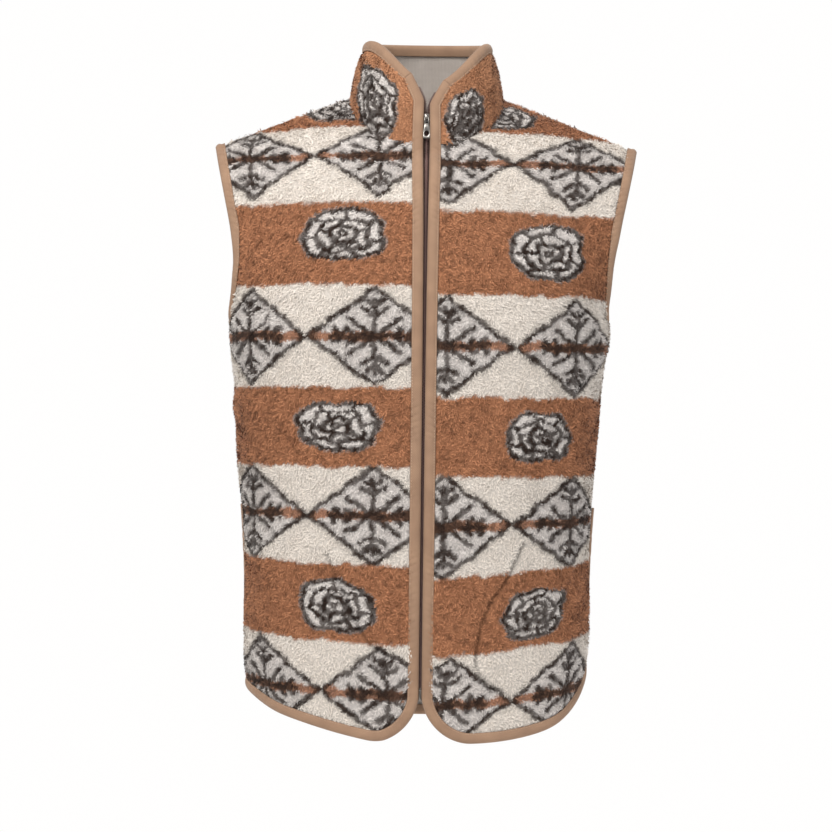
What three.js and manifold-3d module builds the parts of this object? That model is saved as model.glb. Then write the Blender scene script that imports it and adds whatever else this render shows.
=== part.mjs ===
// A wool pile vest with a stand collar and a front zip, standing open and hollow as it does when worn.
// Millimetres, +Z up, -Y is the front, +X is the wearer's left.
// The origin is at the base of the neck, midway between the points where collar and shoulder seams meet.
// Every sheet is worked out as its backing cloth, and gets its wall by going out to the pile's tips
// and in to the wrong side of the backing.
import * as THREE from "three";
import Module from "manifold-3d";

const wasm = await Module();
wasm.setup();

// Cloth and tape thicknesses
const BACKING = 2.0; // from the root of the pile to the wrong side of the cloth
const PILE = 4.5; // height of the pile over the backing
const PILE_UNDER_TAPE = 0.8; // pile squashed under a sewn-on tape
const SEAM_GAP = 0.3; // between two pieces that are sewn to each other
const TAPE_GAP = 1.4; // between a binding tape and the cloth that it wraps
const TAPE = 1.5; // thickness of a folded binding tape
const TAPE_END = 1.3; // from a hem tape's end to the side seam
const TAPE_REACH = 2.3; // how far a binding stands past the cloth's edge
const TAPE_WIDTH = 12; // how far a binding reaches in over the cloth
const TAPER_FROM = 16; // distance from a bound edge where the pile begins to rise
const TAPER_TO = 25; // distance where it has its full height

// Heights of the body
const HEM_Z = -688;
const UNDERARM_Z = -246;
const FRONT_NECK_Z = -60;
const BACK_NECK_Z = -4;
const HEM_CORNER_RADIUS = 50; // of the front's lower corner beside the zip
// How far the hem climbs at each side seam, over what length of hem, and how its curve starts and ends:
// a start over 1 leaves the level hem softly, and an end under 1 steepens towards the seam.
const HEM_RISE = {
  left: { full: 80, length: 215, start: 2.05, end: 0.85 },
  right: { full: 48, length: 220, start: 1.15, end: 1.25 },
};
const HEM_LEVEL_HEIGHT = 190; // above this height over the hem, the cloth's rows are level again

// Rows of the body are numbered from 0 at the hem to 1 at the shoulder seam.
const UNDERARM_ROW = 0.6;
const FRONT_NECK_ROW = 0.84;
const BACK_NECK_ROW = 0.9;

// Horizontal sections of the trunk, from the hem up. Depths are measured from the side seam's plane.
// shift is how far the cloth is swung sideways, to the wearer's right if negative.
const TRUNK = [
  { z: -688, halfWidth: 182, front: 113, back: 117, square: 0.92, shift: -4.5 },
  { z: -640, halfWidth: 184, front: 114, back: 119, square: 0.91, shift: -5 },
  { z: -550, halfWidth: 184, front: 115, back: 115, square: 0.9, shift: -5 },
  { z: -460, halfWidth: 187, front: 117, back: 107, square: 0.88, shift: -6 },
  { z: -400, halfWidth: 192.5, front: 119, back: 103, square: 0.86, shift: -7 },
  { z: -330, halfWidth: 197, front: 122, back: 104, square: 0.84, shift: -6 },
  { z: -246, halfWidth: 204, front: 127, back: 112, square: 0.8, shift: -6 },
  { z: -200, halfWidth: 204, front: 127, back: 116, square: 0.8, shift: -6 },
  { z: -150, halfWidth: 204, front: 121, back: 115, square: 0.84, shift: -3.5 },
  { z: -100, halfWidth: 204, front: 106, back: 106, square: 0.88, shift: -1 },
  { z: -60, halfWidth: 204, front: 83, back: 88, square: 0.95, shift: 0 },
  { z: -4, halfWidth: 204, front: 70, back: 67, square: 1, shift: 0 },
];

// Edge of the armhole from the underarm to the shoulder's tip. wrap is the part of a quarter turn,
// in degrees, that a row of cloth goes round the body before it ends there.
const ARMHOLE = {
  front: [
    { way: 0, x: 204, y: 0, z: UNDERARM_Z, wrap: 90 },
    { way: 0.1, x: 203.5, y: -20, z: -241, wrap: 82 },
    { way: 0.23, x: 201.5, y: -39, z: -223, wrap: 74 },
    { way: 0.4, x: 201, y: -52, z: -190, wrap: 66 },
    { way: 0.58, x: 206, y: -54, z: -150, wrap: 60 },
    { way: 0.74, x: 214, y: -45, z: -112, wrap: 54 },
    { way: 0.88, x: 222, y: -26, z: -79, wrap: 44 },
    { way: 1, x: 228, y: 0, z: -56, wrap: 30 },
  ],
  back: [
    { way: 0, x: 204, y: 0, z: UNDERARM_Z, wrap: 90 },
    { way: 0.1, x: 203.5, y: 19, z: -241, wrap: 82 },
    { way: 0.23, x: 203, y: 36, z: -223, wrap: 74 },
    { way: 0.4, x: 204, y: 47, z: -190, wrap: 66 },
    { way: 0.58, x: 209, y: 49, z: -150, wrap: 60 },
    { way: 0.74, x: 216, y: 42, z: -112, wrap: 54 },
    { way: 0.88, x: 223, y: 25, z: -79, wrap: 44 },
    { way: 1, x: 228, y: 0, z: -56, wrap: 30 },
  ],
};

// Half of the gap between the two front bindings, where the zip shows
const ZIP_GAP = [
  { z: -688, half: 3.2 },
  { z: -600, half: 2.8 },
  { z: -300, half: 2.9 },
  { z: -160, half: 3.5 },
  { z: -80, half: 4.6 },
  { z: -30, half: 5.4 },
];

// Seam between body and collar, and the collar's top edge, as ellipses round the neck.
// Angles run from 0 at the centre front to 180 at the centre back.
const NECK = { halfWidth: 81, centreY: -8, depth: 75, shoulderAngle: 96.2 };
const NECK_BLEND = 20; // height of the front below its neck seam where it turns into the seam's depth
const COLLAR_TOP = { halfWidth: 66, centreY: -13, depth: 60, sideZ: 55, backZ: 64, bulge: 2 };
// Where each front corner of the collar stands, and how fast the top edge climbs from it
const COLLAR_CORNER = {
  left: { angle: 17, z: 8, steep: 2.8 },
  right: { angle: 16.5, z: 15, steep: 4.2 },
};
const COLLAR_FLARE = { from: 0.63, power: 1.2 }; // the front edges part above this share of the height

// The large soft folds: where each lies on the cloth, how long and wide it is, which way it runs and
// how deep it is. round is the share of the way from the centre line to the side seam.
const FOLDS = [
  { panel: "front", side: "left", round: 0.86, z: -308, long: 85, wide: 15, turn: 8, depth: -4.5 },
  { panel: "front", side: "right", round: 0.88, z: -305, long: 75, wide: 15, turn: -10, depth: -5 },
  { panel: "front", side: "left", round: 0.8, z: -272, long: 70, wide: 16, turn: 24, depth: 3.5 },
  { panel: "front", side: "right", round: 0.84, z: -340, long: 80, wide: 18, turn: 6, depth: 3.5 },
  { panel: "front", side: "left", round: 0.55, z: -640, long: 60, wide: 26, turn: 70, depth: 4 },
  { panel: "front", side: "right", round: 0.5, z: -632, long: 60, wide: 28, turn: -66, depth: 3.5 },
  { panel: "front", side: "left", round: 0.9, z: -565, long: 60, wide: 26, turn: 88, depth: 4 },
  { panel: "front", side: "right", round: 0.9, z: -580, long: 80, wide: 24, turn: 92, depth: 2.5 },
  { panel: "front", side: "left", round: 0.42, z: -470, long: 120, wide: 20, turn: 84, depth: -2.5 },
  { panel: "front", side: "right", round: 0.4, z: -480, long: 120, wide: 20, turn: 97, depth: -2.5 },
  { panel: "front", side: "left", round: 0.5, z: -128, long: 60, wide: 26, turn: -38, depth: 1.5 },
  { panel: "front", side: "right", round: 0.5, z: -128, long: 60, wide: 26, turn: 38, depth: 1.5 },
  { panel: "back", side: "left", round: 0.5, z: -420, long: 110, wide: 22, turn: 78, depth: -4 },
  { panel: "back", side: "right", round: 0.46, z: -430, long: 120, wide: 22, turn: 102, depth: -4 },
  { panel: "back", side: "left", round: 0.82, z: -318, long: 75, wide: 17, turn: 12, depth: -4.5 },
  { panel: "back", side: "right", round: 0.8, z: -325, long: 80, wide: 17, turn: -9, depth: -4.5 },
  { panel: "back", side: "left", round: 0.2, z: -380, long: 60, wide: 18, turn: 5, depth: -3 },
  { panel: "back", side: "right", round: 0.3, z: -165, long: 70, wide: 28, turn: 25, depth: 1.5 },
  { panel: "back", side: "left", round: 0.34, z: -170, long: 70, wide: 28, turn: -25, depth: 1.5 },
];
const HALF_GIRTH = 245; // from the centre line to the side seam, for placing folds
const FOLD_FADE = 0.12; // share of the way before a side or shoulder seam where folds die out
const TRUNK_FLATNESS = 1.6; // how much wider than deep the trunk is, for the way a fold points

// Pocket opening in the front panel beside the side seam, with its own tape
const POCKET = { top: -446, bottom: -572, fromSeam: 5, width: 10, thickness: 2.6, gap: 0.5 };

// Zip. Heights here are over the backing cloth at the edge, negative behind it.
const CHAIN = { inner: 0.15, outer: 2.1, front: -3, back: -5.6, bottom: -634 };
const ZIP_TAPE = { inner: 2.5, outer: 17, front: -4.8, back: -5.7, bottom: -645 };
const ZIP_PARTING = { from: -32, to: -29.5, distance: 1.2 }; // where the slider wedges the two sides apart
const ZIP_COLLAR_HEIGHTS = [-54, -46, -38];
const ZIP_TOP_SHARE = 0.84; // of the collar's height
const SLIDER = { middle: -30.5, length: 9, half: 3.8, plate: 1.2, gap: 1, postHalf: 0.8, postHeight: 3 };
const BRIDGE = { half: 0.9, bar: 1.2, clear: 2.8, length: 6.6, leg: 1 };
const PULL = {
  pinRadius: 0.75,
  pinOverlap: 0.6,
  armInner: 1.35,
  armOuter: 2.7,
  armLength: 7,
  length: 23,
  bottomHalf: 4.3,
  chamfer: 1.4,
  thickness: 1.3,
  holeTop: 7.5,
  holeLength: 5.6,
  holeHalf: 2.4,
};
const BOX = { top: -635, bottom: -647, half: 2.2, front: -2.7, back: -6 };

const DEGREE = Math.PI / 180;
const lerp = (a, b, t) => a + (b - a) * t;
const clamp = (t, low = 0, high = 1) => Math.min(high, Math.max(low, t));
const smooth = (t) => {
  const c = clamp(t);
  return c * c * (3 - 2 * c);
};

// Monotone cubic interpolation in a table, by one of its columns.
function lookUp(rows, key, value) {
  const last = rows.length - 1;
  const t = clamp(value, rows[0][key], rows[last][key]);
  const i = Math.min(last - 1, Math.max(0, rows.findIndex((row) => row[key] > t) - 1));
  const at = t >= rows[last][key] ? last - 1 : i;
  const h = rows[at + 1][key] - rows[at][key];
  const f = (t - rows[at][key]) / h;
  const slope = (column, j) => {
    if (j === 0 || j === last) {
      const k = j === 0 ? 0 : last - 1;
      return (rows[k + 1][column] - rows[k][column]) / (rows[k + 1][key] - rows[k][key]);
    }
    const before = (rows[j][column] - rows[j - 1][column]) / (rows[j][key] - rows[j - 1][key]);
    const after = (rows[j + 1][column] - rows[j][column]) / (rows[j + 1][key] - rows[j][key]);
    return before * after <= 0 ? 0 : (2 * before * after) / (before + after);
  };
  const found = {};
  for (const column of Object.keys(rows[0])) {
    const a = rows[at][column];
    const b = rows[at + 1][column];
    const ma = slope(column, at) * h;
    const mb = slope(column, at + 1) * h;
    const f2 = f * f;
    const f3 = f2 * f;
    const fromSlopes = ma * (f3 - 2 * f2 + f) + mb * (f3 - f2);
    found[column] = a * (2 * f3 - 3 * f2 + 1) + b * (3 * f2 - 2 * f3) + fromSlopes;
  }
  return found;
}

const signOf = (side) => (side === "left" ? 1 : -1);
const otherSide = (side) => (side === "left" ? "right" : "left");

// Point on the seam between body and collar, on the wearer's left half.
function neckSeam(angle) {
  const a = angle * DEGREE;
  const toShoulder = (angle / NECK.shoulderAngle) * 90 * DEGREE;
  const frontDrop = angle < NECK.shoulderAngle ? FRONT_NECK_Z * Math.cos(toShoulder) ** 1.1 : 0;
  const past = clamp((angle - NECK.shoulderAngle) / (180 - NECK.shoulderAngle));
  const z = frontDrop + BACK_NECK_Z * smooth(past);
  return new THREE.Vector3(NECK.halfWidth * Math.sin(a), NECK.centreY - NECK.depth * Math.cos(a), z);
}

const frontEdgeX = (z) => lookUp(ZIP_GAP, "z", z).half + TAPE_REACH;
const FRONT_ANGLE = Math.asin(frontEdgeX(FRONT_NECK_Z) / NECK.halfWidth) / DEGREE;

// Height of a row on the centre line, which is also its height at the side below the underarm.
function levelOf(row, neckRow, neckZ) {
  if (row <= UNDERARM_ROW) return lerp(HEM_Z, UNDERARM_Z, row / UNDERARM_ROW);
  return lerp(UNDERARM_Z, neckZ, (row - UNDERARM_ROW) / (neckRow - UNDERARM_ROW));
}

// Inner end of a row: on the centre front or back line, and above it on the seam to the collar.
function innerEnd(panel, row) {
  const isFront = panel === "front";
  const neckRow = isFront ? FRONT_NECK_ROW : BACK_NECK_ROW;
  if (row <= neckRow) {
    const z = levelOf(row, neckRow, isFront ? FRONT_NECK_Z : BACK_NECK_Z);
    const section = lookUp(TRUNK, "z", z);
    if (!isFront) return new THREE.Vector3(0, section.back, z);
    const toNeck = smooth(1 - (FRONT_NECK_Z - z) / NECK_BLEND);
    return new THREE.Vector3(frontEdgeX(z), lerp(-section.front, neckSeam(FRONT_ANGLE).y, toNeck), z);
  }
  const t = (row - neckRow) / (1 - neckRow);
  return neckSeam(lerp(isFront ? FRONT_ANGLE : 180, NECK.shoulderAngle, t));
}

// Outer end of a row: on the side seam, and above it on the edge of the armhole.
function outerEnd(panel, row) {
  if (row <= UNDERARM_ROW) {
    const z = levelOf(row, 1, 0);
    return { x: lookUp(TRUNK, "z", z).halfWidth, y: 0, z, wrap: 90 };
  }
  return lookUp(ARMHOLE[panel], "way", (row - UNDERARM_ROW) / (1 - UNDERARM_ROW));
}

// How far the hem has climbed at a share of the way round to the side seam.
function hemRise(side, round) {
  const { full, length, start, end } = HEM_RISE[side];
  const q = clamp(1 - ((1 - round) * HALF_GIRTH) / length);
  return full * (1 - (1 - q ** start) ** end);
}

// How far the folds push the cloth out of its smooth shape.
function foldPush(panel, side, round, z) {
  let push = 0;
  for (const fold of FOLDS) {
    if (fold.panel !== panel || fold.side !== side) continue;
    const across = (round - fold.round) * HALF_GIRTH;
    const up = z - fold.z;
    const c = Math.cos(fold.turn * DEGREE);
    const s = Math.sin(fold.turn * DEGREE);
    const along = (across * c + up * s) / fold.long;
    const beside = (-across * s + up * c) / fold.wide;
    push += fold.depth * Math.exp(-along * along - beside * beside);
  }
  return push;
}

// The backing cloth of the body at a share of the way round and a row. A row goes round the trunk
// as part of a squared ellipse. Shares under 0 on the back carry on over the centre line.
function bodySheet(panel, side, round, row) {
  if (panel === "back" && round < 0) return bodySheet(panel, otherSide(side), -round, row);
  const share = Math.max(round, 0);
  const inner = innerEnd(panel, row);
  const outer = outerEnd(panel, row);
  const square = lookUp(TRUNK, "z", inner.z).square;
  const wrap = outer.wrap * DEGREE;
  const angle = share * wrap;
  const sunk = (turn) => 1 - Math.max(Math.cos(turn), 0) ** square;
  const reach = Math.sin(angle) ** square / Math.sin(wrap) ** square;
  const fall = sunk(angle) / sunk(wrap);
  const fade = clamp(1 - (levelOf(Math.min(row, UNDERARM_ROW), 1, 0) - HEM_Z) / HEM_LEVEL_HEIGHT);
  const point = new THREE.Vector3(
    lerp(inner.x, outer.x, reach),
    lerp(inner.y, outer.y, fall),
    lerp(inner.z, outer.z, reach) + (row < UNDERARM_ROW ? hemRise(side, share) * fade : 0),
  );
  const out = new THREE.Vector2(point.x / TRUNK_FLATNESS, point.y);
  if (out.lengthSq() > 0) out.normalize();
  const fadeOut = smooth((1 - row) / FOLD_FADE) * smooth((1 - share) / FOLD_FADE);
  const push = foldPush(panel, side, share, point.z) * fadeOut;
  point.x += out.x * push;
  point.y += out.y * push;
  point.x *= signOf(side);
  const swung = panel === "front" ? smooth(share) : 1;
  point.x += lookUp(TRUNK, "z", inner.z).shift * swung;
  return point;
}

// The backing cloth of the collar at an angle round the neck's base and a share of its height.
function collarSheet(side, share, up) {
  const corner = COLLAR_CORNER[side];
  const baseAngle = lerp(FRONT_ANGLE, 180, share);
  const topAngle = lerp(corner.angle, 180, share);
  const flare = clamp((up - COLLAR_FLARE.from) / (1 - COLLAR_FLARE.from)) ** COLLAR_FLARE.power;
  const angle = lerp(baseAngle, topAngle, flare);
  const a = angle * DEGREE;
  const base = neckSeam(baseAngle);
  const t = topAngle * DEGREE;
  const towardsFront = Math.max(Math.cos(t), 0) / Math.cos(corner.angle * DEGREE);
  const topZ =
    COLLAR_TOP.sideZ +
    (corner.z - COLLAR_TOP.sideZ) * towardsFront ** corner.steep +
    (COLLAR_TOP.backZ - COLLAR_TOP.sideZ) * Math.max(-Math.cos(t), 0);
  const bulge = COLLAR_TOP.bulge * Math.sin(Math.PI * up);
  const halfWidth = lerp(NECK.halfWidth, COLLAR_TOP.halfWidth, up) + bulge;
  const depth = lerp(NECK.depth, COLLAR_TOP.depth, up) + bulge;
  return new THREE.Vector3(
    signOf(side) * halfWidth * Math.sin(a),
    lerp(NECK.centreY, COLLAR_TOP.centreY, up) - depth * Math.cos(a),
    lerp(base.z, topZ, up),
  );
}

const unit = (v) => v.clone().normalize();

// Outward normal of the body's cloth. On a side or shoulder seam both panels are read, so that they agree.
function bodyNormal(panel, side, round, row) {
  const step = 0.004;
  const other = panel === "front" ? "back" : "front";
  const at = (r, v) => {
    if (v > 1) return bodySheet(other, side, r, 2 - v);
    if (r > 1) return bodySheet(other, side, 2 - r, v);
    return bodySheet(panel, side, r, v);
  };
  const onArmhole = row > UNDERARM_ROW + 1e-6;
  const neckRow = panel === "front" ? FRONT_NECK_ROW : BACK_NECK_ROW;
  const onFold = panel === "back" && row <= neckRow + 1e-6;
  const low = onFold ? round - step : Math.max(round - step, 0);
  const high = onArmhole ? Math.min(round + step, 1) : round + step;
  const top = row <= neckRow + 1e-6 && round < step ? Math.min(row + step, neckRow) : row + step;
  const across = at(high, row).sub(at(low, row));
  const up = at(round, top).sub(at(round, Math.max(row - step, 0)));
  const normal = unit(across.cross(up));
  const point = bodySheet(panel, side, round, row);
  const outward = new THREE.Vector3(point.x / 2, point.y, Math.max(0, point.z + 90) * 0.8);
  return normal.dot(outward) < 0 ? normal.negate() : normal;
}

// Outward normal of the collar's cloth.
function collarNormal(side, share, up) {
  const step = 0.01;
  const at = (s, u) => (s > 1 ? collarSheet(otherSide(side), 2 - s, u) : collarSheet(side, s, u));
  const across = at(share + step, up).sub(at(Math.max(share - step, 0), up));
  const rise = at(share, Math.min(up + step, 1)).sub(at(share, Math.max(up - step, 0)));
  const normal = unit(across.cross(rise));
  const point = collarSheet(side, share, up);
  const outward = new THREE.Vector3(point.x, point.y - NECK.centreY, 0);
  return normal.dot(outward) < 0 ? normal.negate() : normal;
}

// Share of the way round, for a distance along a row from its inner end (from its outer end, if negative).
function shareAt(sheetAt, distance) {
  const steps = 60;
  const lengths = [0];
  let before = sheetAt(0);
  for (let i = 1; i <= steps; i++) {
    const next = sheetAt(i / steps);
    lengths.push(lengths[i - 1] + next.distanceTo(before));
    before = next;
  }
  const total = lengths[steps];
  const wanted = distance >= 0 && !Object.is(distance, -0) ? distance : total + distance;
  const i = clamp(lengths.findIndex((l) => l >= wanted) - 1, 0, steps - 1);
  const f = (wanted - lengths[i]) / (lengths[i + 1] - lengths[i]);
  return { share: clamp((i + f) / steps), total };
}

const ZIP_EDGE_STEPS = [0, 4, 9, 16, 26]; // distances of the first columns from the zip's edge
const OUTER_STEPS = [0, 4, 9, 16, 26, 38, 51]; // the same from the side seam and armhole
const HEM_STEPS = [0, 8, 16, 27]; // the same at the hem, where the rows part from it towards the sides
const UNDERARM_STEPS = [27, 17, 9]; // heights of the rows just below the underarm
const LOWER_ROWS = 10; // rows between those near the hem and those near the underarm
const CHEST_ROWS = [0.615, 0.635, 0.66, 0.69, 0.72, 0.75, 0.78, 0.81];
const SHOULDER_ROWS = [0.84, 0.86, 0.88, 0.9, 0.92, 0.94, 0.96, 0.98, 1];

const rowAtHeight = (height) => (height / (UNDERARM_Z - HEM_Z)) * UNDERARM_ROW;
const HEM_ROWS = HEM_STEPS.map(rowAtHeight);
const UNDERARM_ROWS = UNDERARM_STEPS.map((height) => UNDERARM_ROW - rowAtHeight(height));
const ROWS = [
  ...HEM_ROWS,
  ...Array.from({ length: LOWER_ROWS }, (_, i) =>
    lerp(HEM_ROWS[HEM_ROWS.length - 1], UNDERARM_ROWS[0], (i + 1) / (LOWER_ROWS + 1)),
  ),
  ...UNDERARM_ROWS,
  UNDERARM_ROW,
  ...CHEST_ROWS,
  ...SHOULDER_ROWS,
];

// Columns of a panel in one row: close to its bound edges, then even.
function columnsOf(panel, side, row) {
  const sheetAt = (round) => bodySheet(panel, side, round, row);
  const { total } = shareAt(sheetAt, 0);
  const inner = panel === "front" ? ZIP_EDGE_STEPS : [0];
  const outer = OUTER_STEPS.map((d) => total - d).reverse();
  const middleCount = panel === "front" ? 6 : 7;
  const from = inner[inner.length - 1];
  const to = outer[0];
  const share = (i) => (i + 1) / (middleCount + 1);
  const middle = Array.from({ length: middleCount }, (_, i) => lerp(from, to, share(i)));
  return [...inner, ...middle, ...outer].map((d) => shareAt(sheetAt, d).share);
}

// Lower front corner: the quarter circle beside the zip, as points in x and z from the edge to the hem.
const CORNER_X = frontEdgeX(HEM_Z + HEM_CORNER_RADIUS);
const CORNER_CENTRE = { x: CORNER_X + HEM_CORNER_RADIUS, z: HEM_Z + HEM_CORNER_RADIUS };
const CORNER_STEPS = 7; // steps round the quarter circle
const cornerPoint = (turn) => ({
  x: CORNER_CENTRE.x - HEM_CORNER_RADIUS * Math.cos(turn),
  z: CORNER_CENTRE.z - HEM_CORNER_RADIUS * Math.sin(turn),
});

// Row and share of a place near the lower front corner.
function placeOnFront(side, x, z) {
  const row = rowAtHeight(z - HEM_Z);
  const inner = innerEnd("front", row);
  const outer = outerEnd("front", row);
  const square = lookUp(TRUNK, "z", z).square;
  const reach = clamp((x - inner.x) / (outer.x - inner.x));
  const round = Math.asin(reach ** (1 / square)) / (Math.PI / 2);
  const rise = hemRise(side, round);
  return { round, row: Math.max(0, rowAtHeight((z - HEM_Z - rise) / (1 - rise / HEM_LEVEL_HEIGHT))) };
}

// The bound edge of a front panel, from the side seam along the hem, round the corner, up to the collar.
function frontEdgePlaces(side) {
  const hemColumns = columnsOf("front", side, 0).reverse();
  const cornerEnd = placeOnFront(side, CORNER_CENTRE.x, HEM_Z).round;
  const level = hemColumns.filter((round) => round > cornerEnd + 0.02);
  const places = level.map((round) => ({ round, row: 0 }));
  for (let i = CORNER_STEPS; i >= 0; i--) {
    const { x, z } = cornerPoint((i / CORNER_STEPS) * 90 * DEGREE);
    places.push(placeOnFront(side, x, z));
  }
  const cornerRow = places[places.length - 1].row;
  const upEdge = ROWS.filter((row) => row > cornerRow + 0.02 && row <= FRONT_NECK_ROW);
  places.push(...upEdge.map((row) => ({ round: 0, row })));
  return places;
}

// The bound edges of each panel as lines of points, for the distance of the pile from a tape.
function boundEdges(panel, side) {
  const edges = [];
  const line = (count, at) => edges.push(Array.from({ length: count + 1 }, (_, i) => at(i / count)));
  line(40, (t) => bodySheet(panel, side, 1, lerp(UNDERARM_ROW, 1, t)));
  const at = ({ round, row }) => bodySheet("front", side, round, row);
  if (panel === "front") edges.push(frontEdgePlaces(side).map(at));
  else line(30, (t) => bodySheet("back", side, t, 0));
  return edges;
}

function distanceToEdges(point, edges) {
  const segment = new THREE.Line3();
  const nearest = new THREE.Vector3();
  let least = Infinity;
  for (const edge of edges)
    for (let i = 1; i < edge.length; i++) {
      segment.set(edge[i - 1], edge[i]).closestPointToPoint(point, true, nearest);
      least = Math.min(least, nearest.distanceTo(point));
    }
  return least;
}

const pileHeight = (distance) =>
  lerp(PILE_UNDER_TAPE, PILE, smooth((distance - TAPER_FROM) / (TAPER_TO - TAPER_FROM)));

// One closed wall from grids of cloth points, each with its normal and how far the wall goes out and in.
function wallFrom(grids) {
  const points = [];
  const known = new Map();
  const number = (v) => {
    const key = [v.point.x, v.point.y, v.point.z].map((c) => Math.round(c * 500)).join();
    if (!known.has(key)) known.set(key, points.push(v) - 1);
    return known.get(key);
  };
  const faces = [];
  for (const grid of grids)
    for (let j = 1; j < grid.length; j++)
      for (let i = 1; i < grid[j].length; i++) {
        const [a, b, c, d] = [grid[j - 1][i - 1], grid[j - 1][i], grid[j][i], grid[j][i - 1]];
        const across = c.point.clone().sub(a.point);
        const up = d.point.clone().sub(b.point);
        const faced = across.cross(up).dot(a.normal) > 0;
        const quad = [a, b, c, d].map(number);
        if (!faced) quad.reverse();
        for (const face of [[quad[0], quad[1], quad[2]], [quad[0], quad[2], quad[3]]])
          if (new Set(face).size === 3) faces.push(face);
      }
  const count = points.length;
  const positions = [];
  for (const v of points) positions.push(...v.point.clone().addScaledVector(v.normal, v.out));
  for (const v of points) positions.push(...v.point.clone().addScaledVector(v.normal, -v.in));
  const index = [];
  const edges = new Map();
  for (const [a, b, c] of faces) {
    index.push(a, b, c, a + count, c + count, b + count);
    for (const [p, q] of [[a, b], [b, c], [c, a]]) {
      if (!edges.delete(q + "," + p)) edges.set(p + "," + q, [p, q]);
    }
  }
  // Two walls that meet at a seam split the narrow faces between them the same way.
  const order = (i) => points[i].point.y + 0.5 * points[i].point.z + 0.25 * Math.abs(points[i].point.x);
  for (const [p, q] of edges.values()) {
    if (order(p) < order(q)) index.push(q, p, p + count, q, p + count, q + count);
    else index.push(p, p + count, q + count, p, q + count, q);
  }
  return geometryFrom(positions, index);
}

function geometryFrom(positions, index) {
  const geometry = new THREE.BufferGeometry();
  geometry.setAttribute("position", new THREE.Float32BufferAttribute(positions, 3));
  geometry.setIndex(index);
  return geometry;
}

// A closed solid from rings of points, each ring joined to the next. A loop joins the last to the first.
function ringsSolid(rings, isLoop = false) {
  const size = rings[0].length;
  const positions = rings.flat().flatMap((p) => [p.x, p.y, p.z]);
  const index = [];
  const last = isLoop ? rings.length : rings.length - 1;
  for (let j = 0; j < last; j++)
    for (let i = 0; i < size; i++) {
      const a = j * size + i;
      const b = j * size + ((i + 1) % size);
      const c = ((j + 1) % rings.length) * size + ((i + 1) % size);
      const d = ((j + 1) % rings.length) * size + i;
      index.push(a, b, c, a, c, d);
    }
  if (!isLoop) {
    const end = (rings.length - 1) * size;
    const cap = capOf(rings[0]);
    for (const [a, b, c] of cap) index.push(a, c, b);
    for (const [a, b, c] of cap) index.push(end + a, end + b, end + c);
  }
  return facingOut(geometryFrom(positions, index));
}

// Triangles that close a flat ring of points, which may bend back on itself as a fold of tape does.
function capOf(ring) {
  const arms = ring.map((p) => p.clone().sub(ring[0]));
  const total = new THREE.Vector3();
  arms.forEach((arm, i) => total.add(arm.clone().cross(arms[(i + 1) % arms.length])));
  const xAxis = unit(arms[1]);
  const yAxis = unit(total).cross(xAxis);
  const flat = arms.map((arm) => new THREE.Vector2(arm.dot(xAxis), arm.dot(yAxis)));
  return THREE.ShapeUtils.triangulateShape(flat, []);
}

// Turns a closed mesh the right way round if its volume comes out negative.
function facingOut(geometry) {
  const p = geometry.getAttribute("position");
  const index = geometry.getIndex().array;
  const [a, b, c] = [new THREE.Vector3(), new THREE.Vector3(), new THREE.Vector3()];
  let volume = 0;
  for (let i = 0; i < index.length; i += 3) {
    a.fromBufferAttribute(p, index[i]);
    b.fromBufferAttribute(p, index[i + 1]);
    c.fromBufferAttribute(p, index[i + 2]);
    volume += a.dot(b.cross(c));
  }
  if (volume >= 0) return geometry;
  for (let i = 0; i < index.length; i += 3) {
    [index[i + 1], index[i + 2]] = [index[i + 2], index[i + 1]];
  }
  return geometry;
}

function solidFrom(geometry) {
  return new wasm.Manifold(
    new wasm.Mesh({
      numProp: 3,
      vertProperties: new Float32Array(geometry.getAttribute("position").array),
      triVerts: new Uint32Array(geometry.getIndex().array),
    }),
  );
}

function geometryOf(solid) {
  const mesh = solid.getMesh();
  return geometryFrom(Array.from(mesh.vertProperties), Array.from(mesh.triVerts));
}

// A point of a body panel, kept half a seam gap away from the side and shoulder seams.
function trimmedPoint(panel, side, round, row) {
  const point = bodySheet(panel, side, round, row);
  const inside = [];
  if (row > 1 - 1e-6) inside.push(bodySheet(panel, side, round, row - 0.01));
  if (round > 1 - 1e-6 && row < UNDERARM_ROW + 1e-6) inside.push(bodySheet(panel, side, round - 0.01, row));
  for (const other of inside) point.addScaledVector(unit(other.sub(point)), SEAM_GAP / 2);
  return point;
}

// Grid of cloth points for one half of a body panel.
function bodyGrid(panel, side) {
  const edges = boundEdges(panel, side);
  return ROWS.map((row) =>
    columnsOf(panel, side, row).map((round) => {
      const point = trimmedPoint(panel, side, round, row);
      return {
        point,
        normal: seamNormal(panel, side, round, row),
        out: pileHeight(distanceToEdges(point, edges)),
        in: BACKING,
      };
    }),
  );
}

// Normal of the body's cloth, shared with the collar where the two are sewn together.
function seamNormal(panel, side, round, row) {
  const neckRow = panel === "front" ? FRONT_NECK_ROW : BACK_NECK_ROW;
  const normal = bodyNormal(panel, side, round, row);
  if (round > 1e-6 || row < neckRow - 1e-6) return normal;
  const start = panel === "front" ? FRONT_ANGLE : 180;
  const angle = lerp(start, NECK.shoulderAngle, (row - neckRow) / (1 - neckRow));
  const share = (angle - FRONT_ANGLE) / (180 - FRONT_ANGLE);
  return unit(normal.add(collarNormal(side, share, 0.02)));
}

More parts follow.
